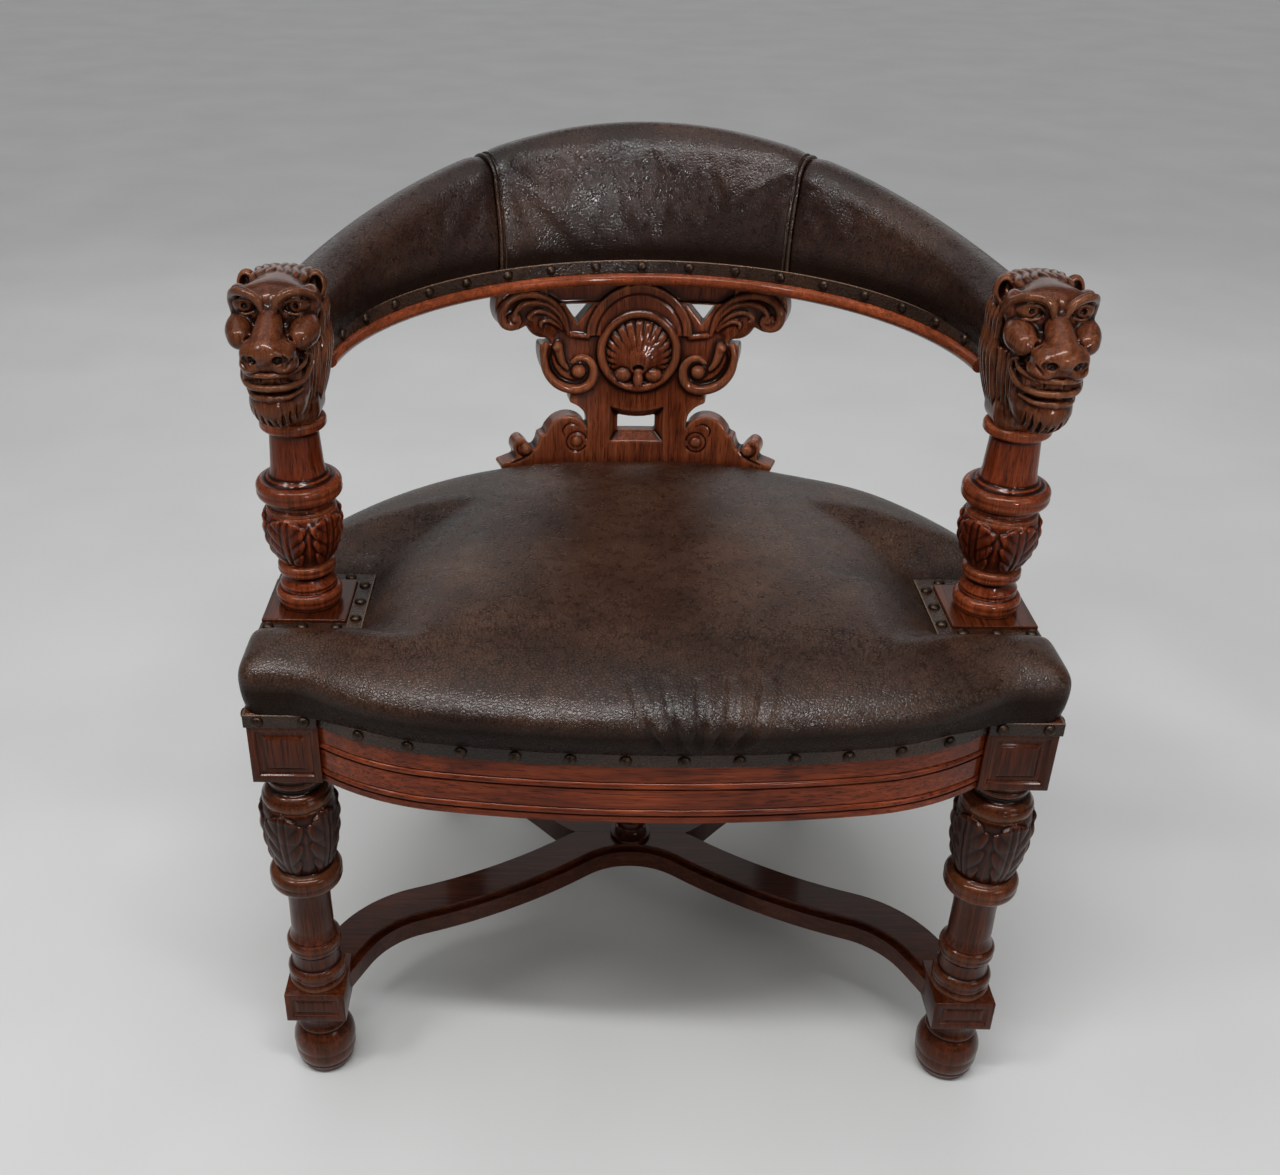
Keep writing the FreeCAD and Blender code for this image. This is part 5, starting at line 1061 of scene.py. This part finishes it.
def seat_cushion(cell):
    """Tight-stuffed seat: rolled border, low crown, hollows round the arm plinths and the splat's foot."""
    c = Carving((-352, -282, SEAT_BASE - 1), (352, 256, SEAT_TOP + 6), cell)
    half = seat_outline()
    outline = np.vstack([half, half[::-1] * (-1, 1)])
    x, y, z = c.grids()
    inset = -edge_distance(x[:, :, 0], y[:, :, 0], outline)[:, :, None]
    # slow ripples of settled stuffing
    ripple = 0.8 * np.sin(x / 31 + 1.3 * np.sin(y / 47)) + 0.7 * np.sin(y / 37 + 1.1 * np.sin(x / 53))
    # the border's roll: how far it stands back at heights above the frame
    rise = np.interp(z, SEAT_BASE + np.array([0, 4, 8, 12, 18, 24, 30, 36, 41, 47]),
                     [SEAT_TUCK, 10.4, 7.8, 5.6, 2.9, 0.9, 0, 1.2, 3.6, 8]) * tucked(x, y)
    shoulder = np.interp(y, (-60, 0, 180), (SEAT_SHOULDER, SEAT_SHOULDER - 6, SEAT_SHOULDER - 22))
    top = shoulder + (SEAT_TOP - shoulder) * (1 - np.exp(-np.maximum(inset - 9, -7) / 46)) + ripple
    # wells round the plinths, rising more slowly behind them
    for side in (-1, 1):
        away = np.maximum(np.abs(x - side * POST_X), np.abs(y - POST_Y)) - PLINTH_HALF
        away = np.where(side * x > POST_X, np.abs(y - POST_Y) - PLINTH_HALF, away)
        ease = np.where(y > POST_Y, 62, 34)
        clear = np.maximum(away - 14, 0)
        well = PLINTH_WELL_Z + PLINTH_WELL_RISE * (1 - np.exp(-clear / ease)) + 0.12 * clear
        top = np.minimum(top, well)
        top = np.where(away < -3.5, SEAT_BASE - 20, top)
    side_face = rise - inset
    over = z - top
    soft = 9.0
    share = np.clip(0.5 + 0.5 * (side_face - over) / soft, 0, 1)
    body = over + (side_face - over) * share + soft * share * (1 - share)
    lean = (z - SEAT_BASE) * math.tan(math.radians(SPLAT_LEAN))
    splat_face = np.hypot(x, y - SPLAT_CURVE_Y) - SPLAT_FACE_R + 0.3 - lean
    foot_half = np.interp(z, SPLAT_FOOT_Z, SPLAT_FOOT_HALF)
    body = np.maximum(body, np.where(np.abs(x) < foot_half, splat_face, -FAR))
    c.field = np.maximum(body, SEAT_BASE - z).astype(np.float32)
    points, quads = c.shell()
    points = smoothed(points, quads, 2, 0.4)
    # the border's foot drawn in to its nails, the underside lifted clear of the hessian
    x, y, z = points.T
    gap = edge_distance(x, y, outline)
    low = z < SEAT_BASE + FOOT_BAND
    foot = low & (gap > -22)
    away = np.stack([edge_distance(x + 0.5, y, outline) - edge_distance(x - 0.5, y, outline),
                     edge_distance(x, y + 0.5, outline) - edge_distance(x, y - 0.5, outline)], axis=1)
    points[foot, :2] += (away * (-SEAT_TUCK * tucked(x, y) - gap)[:, None])[foot]
    points[foot, 2] = SEAT_BASE
    points[low & ~foot, 2] = SEAT_BASE + HESSIAN_TOP
    return points, quads.tolist()


def stuffed(made, pinned, cap):
    """Swells a cover by at most cap millimetres: cloth under its stuffing's pressure, held at its nails."""
    mesh = made.data
    start = rows(mesh.vertices, "co")
    group = made.vertex_groups.new(name="nailed_edge")
    group.add([int(i) for i in np.flatnonzero(pinned(start / MM))], 1.0, "REPLACE")
    cloth = made.modifiers.new("stuffing_pressure", "CLOTH")
    for key, value in (("use_pressure", True), ("uniform_pressure_force", 4.0), ("mass", 0.4),
                       ("vertex_group_mass", group.name), ("tension_stiffness", 30),
                       ("compression_stiffness", 30), ("bending_stiffness", 2.0), ("quality", 5)):
        setattr(cloth.settings, key, value)
    cloth.settings.effector_weights.gravity = 0.0
    cloth.collision_settings.use_collision = False
    scene = bpy.context.scene
    for step in range(1, 21):
        scene.frame_set(step)
    view = made.evaluated_get(bpy.context.evaluated_depsgraph_get())
    shift = rows(view.data.vertices, "co") - start
    made.modifiers.remove(cloth)
    made.vertex_groups.clear()
    scene.frame_set(1)
    far = np.linalg.norm(shift, axis=1, keepdims=True)
    shift *= np.minimum(1, cap * MM / np.maximum(far, 1e-9))
    mesh.vertices.foreach_set("co", (start + shift).ravel())
    smooth = made.modifiers.new("smooth_cover", "SUBSURF")
    smooth.levels = smooth.render_levels = 1
    view = made.evaluated_get(bpy.context.evaluated_depsgraph_get())
    made.data = bpy.data.meshes.new_from_object(view)
    made.modifiers.remove(smooth)


BORDER_HIGH = 50.0
# (x at the foot, shift at the top, depth)
PLEATS = ((9, -32, 4.4), (21, -16, 4.8), (33, 0, 5.0), (45, 15, 4.8), (57, 32, 4.4))


def gathered(mesh):
    """Draws the front border into short pleats that fan out upwards."""
    points, normals = rows(mesh.vertices, "co") / MM, rows(mesh.vertices, "normal")
    up = (points[:, 2] - SEAT_BASE) / BORDER_HIGH
    fade = np.clip(1.35 - up, 0, 1) * np.clip(up * 5 - 0.7, 0, 1) * (points[:, 1] < SEAT_FRONT + 40)
    shift = np.zeros(len(points))
    for foot, fan, deep in PLEATS:
        # a crease with a low fold beside it
        off = points[:, 0] - foot - fan * np.clip(up, 0, 1.4) * 0.8
        shift += deep * (0.5 * np.exp(-((off - 7) / 4.2) ** 2) - np.exp(-(off / 3.6) ** 2))
    mesh.vertices.foreach_set("co", ((points + normals * (shift * fade)[:, None]) * MM).ravel())


def painted_border_shade(mesh, foot, reach):
    """Marks the cover's border above height foot as an attribute of painted shade, full low down and fading
    out by reach above foot.
    """
    height = rows(mesh.vertices, "co")[:, 2] / MM
    mark(mesh, "painted_border_shade", 0.84 * np.clip((foot + reach - height) / (0.4 * reach), 0, 1))


seat = piece("seat_leather_stuffed", *seat_cushion(5.5), seat_hide, HIDE, ["seat_leather", "seat_stuffing"])
stuffed(seat, lambda p: p[:, 2] < SEAT_PINNED_Z, cap=6)
gathered(seat.data)
painted_border_shade(seat.data, SEAT_BASE, reach=40)


# Padded back and arms along the rail

RAIL_CY = -70.0
PAD_IN, PAD_OUT, PAD_MID = 278.0, 330.0, 304.0
ROLL_HALF, ROLL_RISE = 27.0, 21.6
ARM_RISE, BACK_RISE = 54.0, 84.0
WELT_TURN = math.radians(30)
# how far from a seam the cover is drawn in, and how deep
SEAM_REACH, SEAM_DEPTH = 9, 3.2
# what the nails and seams hold: height above the rail and turn beside a seam
FOOT_HELD, SEAM_HELD = 15, 0.04


def pad_section(turn, count=30):
    """Section of the pad as (radius, height) points from the inner foot over the roll to the outer foot."""
    back = math.cos(turn) ** 2
    crest = RAIL_TOP + ARM_RISE + BACK_RISE * back
    middle = PAD_MID + 12 * back
    shoulder = crest - ROLL_RISE
    # both faces bulge, most at the middle of the back
    swell = 0.4 + 0.6 * back
    foot_in, foot_out = np.array((PAD_IN, RAIL_TOP)), np.array((PAD_OUT, RAIL_TOP))
    top_in, top_out = np.array((middle - ROLL_HALF, shoulder)), np.array((middle + ROLL_HALF, shoulder))
    t = np.linspace(0, 1, count)[:, None]
    inner = foot_in + (top_in - foot_in) * t - np.sin(t * math.pi) * (6 * swell, 0)
    outer = top_out + (foot_out - top_out) * t + np.sin(t * math.pi) * (8.5 * swell, 0)
    a = np.linspace(math.pi, 0, count)[1:-1]
    roll = np.stack([middle + ROLL_HALF * np.cos(a), shoulder + ROLL_RISE * np.sin(a)], axis=1)
    return np.vstack([inner, roll, outer])


def drawn_in(line, depth):
    """A section drawn in towards its middle, as at a seam."""
    middle = line.mean(axis=0)
    away = np.maximum(np.linalg.norm(middle - line, axis=1, keepdims=True), 20)
    return line + (middle - line) * (depth / away)


def round_rail(line, turn):
    """(radius, height) points set at a turn about the rail's middle."""
    return np.stack([line[:, 0] * np.sin(turn), RAIL_CY + line[:, 0] * np.cos(turn), line[:, 1]], axis=1)


def pad(first, last, front_end, steps):
    """A pad between two turns about the rail's middle. A front end stops flat behind the lion's head."""
    sections = []
    length = (last - first) * PAD_MID
    for i in range(steps + 1):
        share = i / steps
        seam = math.exp(-(share * length / SEAM_REACH) ** 2)
        if not front_end:
            seam += math.exp(-((1 - share) * length / SEAM_REACH) ** 2)
        line = drawn_in(pad_section(first + (last - first) * share), SEAM_DEPTH * seam)
        line[:, 1] = np.maximum(line[:, 1], RAIL_TOP)
        end = last
        if front_end:
            end = np.arccos(np.clip((HEAD_BACK_Y - RAIL_CY + 0.6) / line[:, 0], -1, 1))
        sections.append(round_rail(line, first + (end - first) * share))
    wide = len(sections[0])
    faces = [(a, d, c, b) for a, b, c, d in grid_faces(steps + 1, wide)]
    faces += [tuple(range(wide)), tuple(range(steps * wide + wide - 1, steps * wide - 1, -1))]
    return np.vstack(sections), faces


def nailed_foot(p):
    """Points held by the nails along the rail or by a seam."""
    seam = np.abs(np.abs(np.arctan2(p[:, 0], p[:, 1] - RAIL_CY)) - WELT_TURN) < SEAM_HELD
    return seam | (p[:, 2] < RAIL_TOP + FOOT_HELD)


front_turn = math.acos((HEAD_BACK_Y - RAIL_CY) / PAD_MID)
right_arm = pad(WELT_TURN, front_turn, True, 64)
for name, shell, nodes in (
        ("backrest_pad", pad(-WELT_TURN, WELT_TURN, False, 72), ["backrest_cover", "backrest_stuffing"]),
        ("armrest_pad_right", right_arm, ["armrest_cover_right", "armrest_stuffing_right"]),
        ("armrest_pad_left", mirrored(right_arm), ["armrest_cover_left", "armrest_stuffing_left"])):
    cover = piece(name, *shell, shaded_pad_hide, HIDE, nodes)
    stuffed(cover, nailed_foot, cap=3.5)
    painted_border_shade(cover.data, RAIL_TOP, reach=38)


# Welts over the two seams

def tube(line, radius, sides=10):
    """Round cord along points, closed at both ends."""
    along = np.gradient(line, axis=0)
    along /= np.linalg.norm(along, axis=1, keepdims=True)
    side = np.cross(along, (0.31, 0.17, 0.93))
    side /= np.linalg.norm(side, axis=1, keepdims=True)
    up = np.cross(along, side)
    turn = np.linspace(0, 2 * math.pi, sides, endpoint=False)
    swing = side[:, None, :] * np.cos(turn)[:, None] + up[:, None, :] * np.sin(turn)[:, None]
    ring = line[:, None, :] + radius * swing
    count = len(line)
    faces = grid_faces(count, sides)
    faces += [tuple(range(sides - 1, -1, -1)), tuple(range((count - 1) * sides, count * sides))]
    return ring.reshape(-1, 3), faces


def welt(turn, sink, radius):
    """Cord over the pads at one turn about the rail's middle."""
    return tube(round_rail(drawn_in(pad_section(turn), sink), turn), radius)


# a thick cord on the seam and a thin stitched fold beside it: (shift, sink, radius)
CORDS = ((0, 2.4, 1.9), (-5.2, 1.6, 0.9))
cords = [welt(side * (WELT_TURN + shift / PAD_MID), sink, radius)
         for side in (-1, 1) for shift, sink, radius in CORDS]
piece("cover_welts_piped", *joined(cords), trim_hide, HIDE, ["cover_welts"])


# Nails

def nail_places(node):
    """Middle and outward direction of each nail of a CAD node."""
    work = bmesh.new()
    work.from_mesh(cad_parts[node].data)
    bmesh.ops.remove_doubles(work, verts=work.verts, dist=SAME_POINT)
    seen, places = set(), []
    for start in work.verts:
        if start in seen:
            continue
        island, edge = [], [start]
        seen.add(start)
        while edge:
            v = edge.pop()
            island.append(v)
            for e in v.link_edges:
                other = e.other_vert(v)
                if other not in seen:
                    seen.add(other)
                    edge.append(other)
        points = np.array([v.co[:] for v in island])
        middle = (points.max(0) + points.min(0)) / 2
        flat = max((f for v in island for f in v.link_faces), key=lambda f: f.calc_area())
        out = -np.array(flat.normal)
        back = middle + out * ((np.array(flat.verts[0].co) - middle) @ out)
        places.append((back, out))
    work.free()
    return places


NAIL_WIDE, NAIL_RISE, NAIL_TILT = 10.5 * MM, 3.6 * MM, math.radians(5)


def nail_tree():
    """Domed nail heads on points that carry their outward direction."""
    tree = bpy.data.node_groups.new("nail_heads", "GeometryNodeTree")
    sockets = {}
    for name, kind in (("Geometry", "NodeSocketGeometry"), ("Head diameter", "NodeSocketFloat"),
                       ("Head rise", "NodeSocketFloat"), ("Tilt", "NodeSocketFloat"),
                       ("Seed", "NodeSocketInt"), ("Finish", "NodeSocketMaterial")):
        sockets[name] = tree.interface.new_socket(name, in_out="INPUT", socket_type=kind).identifier
    tree.interface.new_socket("Geometry", in_out="OUTPUT", socket_type="NodeSocketGeometry")
    given = add(tree, "NodeGroupInput").outputs
    ball = add(tree, "GeometryNodeMeshUVSphere", {"Segments": 20, "Rings": 12, "Radius": 0.5})
    size = add(tree, "ShaderNodeCombineXYZ", {"X": given["Head diameter"], "Y": given["Head diameter"],
                                              "Z": computed(tree, "MULTIPLY", given["Head rise"], 2.0)})
    head_form = add(tree, "GeometryNodeTransform", {"Geometry": ball.outputs["Mesh"],
                                                    "Scale": size.outputs[0]})
    smooth = add(tree, "GeometryNodeSetShadeSmooth", {"Geometry": head_form.outputs["Geometry"]})
    out = add(tree, "GeometryNodeInputNamedAttribute", {"Name": "out"}, data_type="FLOAT_VECTOR")
    facing = add(tree, "FunctionNodeAlignRotationToVector", {"Vector": out.outputs["Attribute"]}, axis="Z")
    swing = add(tree, "FunctionNodeRandomValue", {0: computed(tree, "MULTIPLY", given["Tilt"], -1.0),
                                                  1: given["Tilt"], "Seed": given["Seed"]},
                data_type="FLOAT_VECTOR")
    turn = add(tree, "FunctionNodeRotateRotation", {"Rotation": facing.outputs["Rotation"],
                                                    "Rotate By": swing.outputs[0]}, rotation_space="LOCAL")
    heads = add(tree, "GeometryNodeInstanceOnPoints", {"Points": given["Geometry"],
                                                       "Instance": smooth.outputs["Geometry"],
                                                       "Rotation": turn.outputs["Rotation"]})
    real = add(tree, "GeometryNodeRealizeInstances", {"Geometry": heads.outputs["Instances"]})
    done = add(tree, "GeometryNodeSetMaterial", {"Geometry": real.outputs["Geometry"],
                                                 "Material": given["Finish"]})
    add(tree, "NodeGroupOutput", {"Geometry": done.outputs["Geometry"]})
    return tree, sockets


nail_group, nail_sockets = nail_tree()
for seed, node in enumerate(("seat_nails", "rail_nails", "plinth_nails")):
    places = nail_places(node)
    marks = bpy.data.meshes.new("nail_marks")
    marks.from_pydata([p.tolist() for p, _ in places], [], [])
    out = marks.attributes.new("out", "FLOAT_VECTOR", "POINT")
    out.data.foreach_set("vector", np.array([o for _, o in places]).ravel())
    holder = placed("nail_marks", marks)
    driven = holder.modifiers.new("nail_heads", "NODES")
    driven.node_group = nail_group
    for name, value in (("Head diameter", NAIL_WIDE), ("Head rise", NAIL_RISE), ("Tilt", NAIL_TILT),
                        ("Seed", seed + 3), ("Finish", nail_brass)):
        driven[nail_sockets[name]] = value
    view = holder.evaluated_get(bpy.context.evaluated_depsgraph_get())
    heads = bpy.data.meshes.new_from_object(view)
    bpy.data.objects.remove(holder)
    mesh_piece(node + "_domed", heads, nail_brass, "bronzed_nails", [node])


# Wear, painted shade and painted highlight on the wood: rounds of easing and the depth in millimetres that
# each counts as full

# the 90-round depth reaches large hollows such as the lion's eye sockets and darkens them as painted shade
FREE_CARVING = ((3, 0.4), (14, 1.0), (90, 3.2))
TURNING = ((3, 0.7), (14, 2.0))
RAIL_BEAD_R = 279.0
wood = [o for o in bpy.context.scene.collection.objects
        if o.type == "MESH" and o.data.materials and o.data.materials[0] in oaks]
for made in wood:
    carved = made.name.endswith("_carved")
    turned = made.name.startswith(("leg_", "arm_post"))
    patina_and_painted_light = wear_and_painted_light(made.data, (TURNING if turned else FREE_CARVING) if carved else ())
    x, y, z = rows(made.data.vertices, "co").T / MM
    if turned:
        # leaves a little darker; the cap on the legs covers their last millimetre
        on_post = (z > POST_LEAF_Z) & (z < POST_LEAF_Z + POST_LEAF_HIGH)
        on_leg = (z > LEG_LEAF_Z) & (z < LEG_LEAF_Z + LEG_LEAF_HIGH - 1)
        patina_and_painted_light = np.clip(patina_and_painted_light - 0.1 * (on_post | on_leg), 0, 1)
    # the bead along each arm rail is marked paler as a painted highlight, and glossier
    if made.name.startswith("arm_rail"):
        patina_and_painted_light = np.where(np.hypot(x, y - RAIL_CY) < RAIL_BEAD_R, 0.74, 0.5)
    mark(made.data, "patina_and_painted_light", patina_and_painted_light)


# Floor, light and camera, placed in metres

def studio_floor():
    """Seamless pale floor."""
    mesh = bpy.data.meshes.new("studio_floor")
    far = 40
    mesh.from_pydata([(-far, -far, 0), (far, -far, 0), (far, far, 0), (-far, far, 0)], [], [(0, 1, 2, 3)])
    made, tree, shader, place = blank("pale_paper")
    mottle = noise(tree, place, 3.0)
    feed(tree, shader, {"Base Color": ramp(tree, mottle, [(0.3, "#bdbebd"), (0.7, "#c3c4c3")]),
                        "Roughness": 0.85})
    mesh.materials.append(made)
    floor = placed("studio_floor", mesh)


def lamp(name, kind, place, aim, **settings):
    """A light that faces a point."""
    light = bpy.data.lights.new(name, kind)
    for key, value in settings.items():
        setattr(light, key, value)
    made = placed(name, light)
    made.location = place
    made.rotation_euler = (Vector(aim) - Vector(place)).to_track_quat("-Z", "Y").to_euler()


studio_floor()
lamp("broad_top_light", "SUN", (-0.6, -0.6, 4), (0, 0, 0.4), energy=1.4, angle=math.radians(80))
lamp("strip_light", "AREA", (-0.1, -1.0, 2.4), (0, 0, 0.5), shape="RECTANGLE", size=1.6, size_y=0.13,
     energy=33)
lamp("key_light", "AREA", (-1.5, -1.0, 2.3), (0, 0, 0.5), energy=12, size=0.4)
lamp("fill_light", "AREA", (1.7, -1.7, 1.6), (0, 0, 0.45), energy=7, size=0.8)
# a small light on the face of the padded back, and a broad one in place of a pale wall behind
lamp("back_light", "AREA", (0.7, -1.9, 0.98), (-0.03, 0.2, 0.77), energy=0.6, size=0.2,
     spread=math.radians(32))
lamp("wall_light", "AREA", (0, 2.3, 1.6), (0, 0, 0.6), shape="RECTANGLE", size=3.4, size_y=1.4, energy=11)

scene = bpy.context.scene
scene.view_settings.view_transform = "Standard"
world = bpy.data.worlds.new("studio_air")
scene.world = world
world.use_nodes = True
feed(world.node_tree, world.node_tree.nodes["Background"], {"Color": linear("#e9ebec"), "Strength": 0.15})

# camera that stands where the photo was taken: place in metres, turns in degrees, lens in pixels
EYE = (-0.0692, -1.1379, 1.0817)
PHOTO_WIDE, PHOTO_HIGH, FOCAL, CENTRE_X, CENTRE_Y = 1280, 1175, 1354.8, 556, 600
YAW, PITCH, ROLL = map(math.radians, (-0.688, 29.84, 0.208))
ahead = Vector((math.sin(YAW) * math.cos(PITCH), math.cos(YAW) * math.cos(PITCH), -math.sin(PITCH)))
level = Vector((math.cos(YAW), -math.sin(YAW), 0))
above = level.cross(ahead)
right = math.cos(ROLL) * level + math.sin(ROLL) * above
top = math.cos(ROLL) * above - math.sin(ROLL) * level
lens = bpy.data.cameras.new("photo_view")
lens.sensor_width = 36.0
lens.lens = lens.sensor_width * FOCAL / PHOTO_WIDE
lens.shift_x = (PHOTO_WIDE / 2 - CENTRE_X) / PHOTO_WIDE
lens.shift_y = (CENTRE_Y - PHOTO_HIGH / 2) / PHOTO_WIDE
eye = placed("photo_view", lens)
eye.matrix_world = Matrix.Translation(EYE) @ Matrix((right, top, -ahead)).transposed().to_4x4()
scene.camera = eye

bpy.context.view_layer.update()
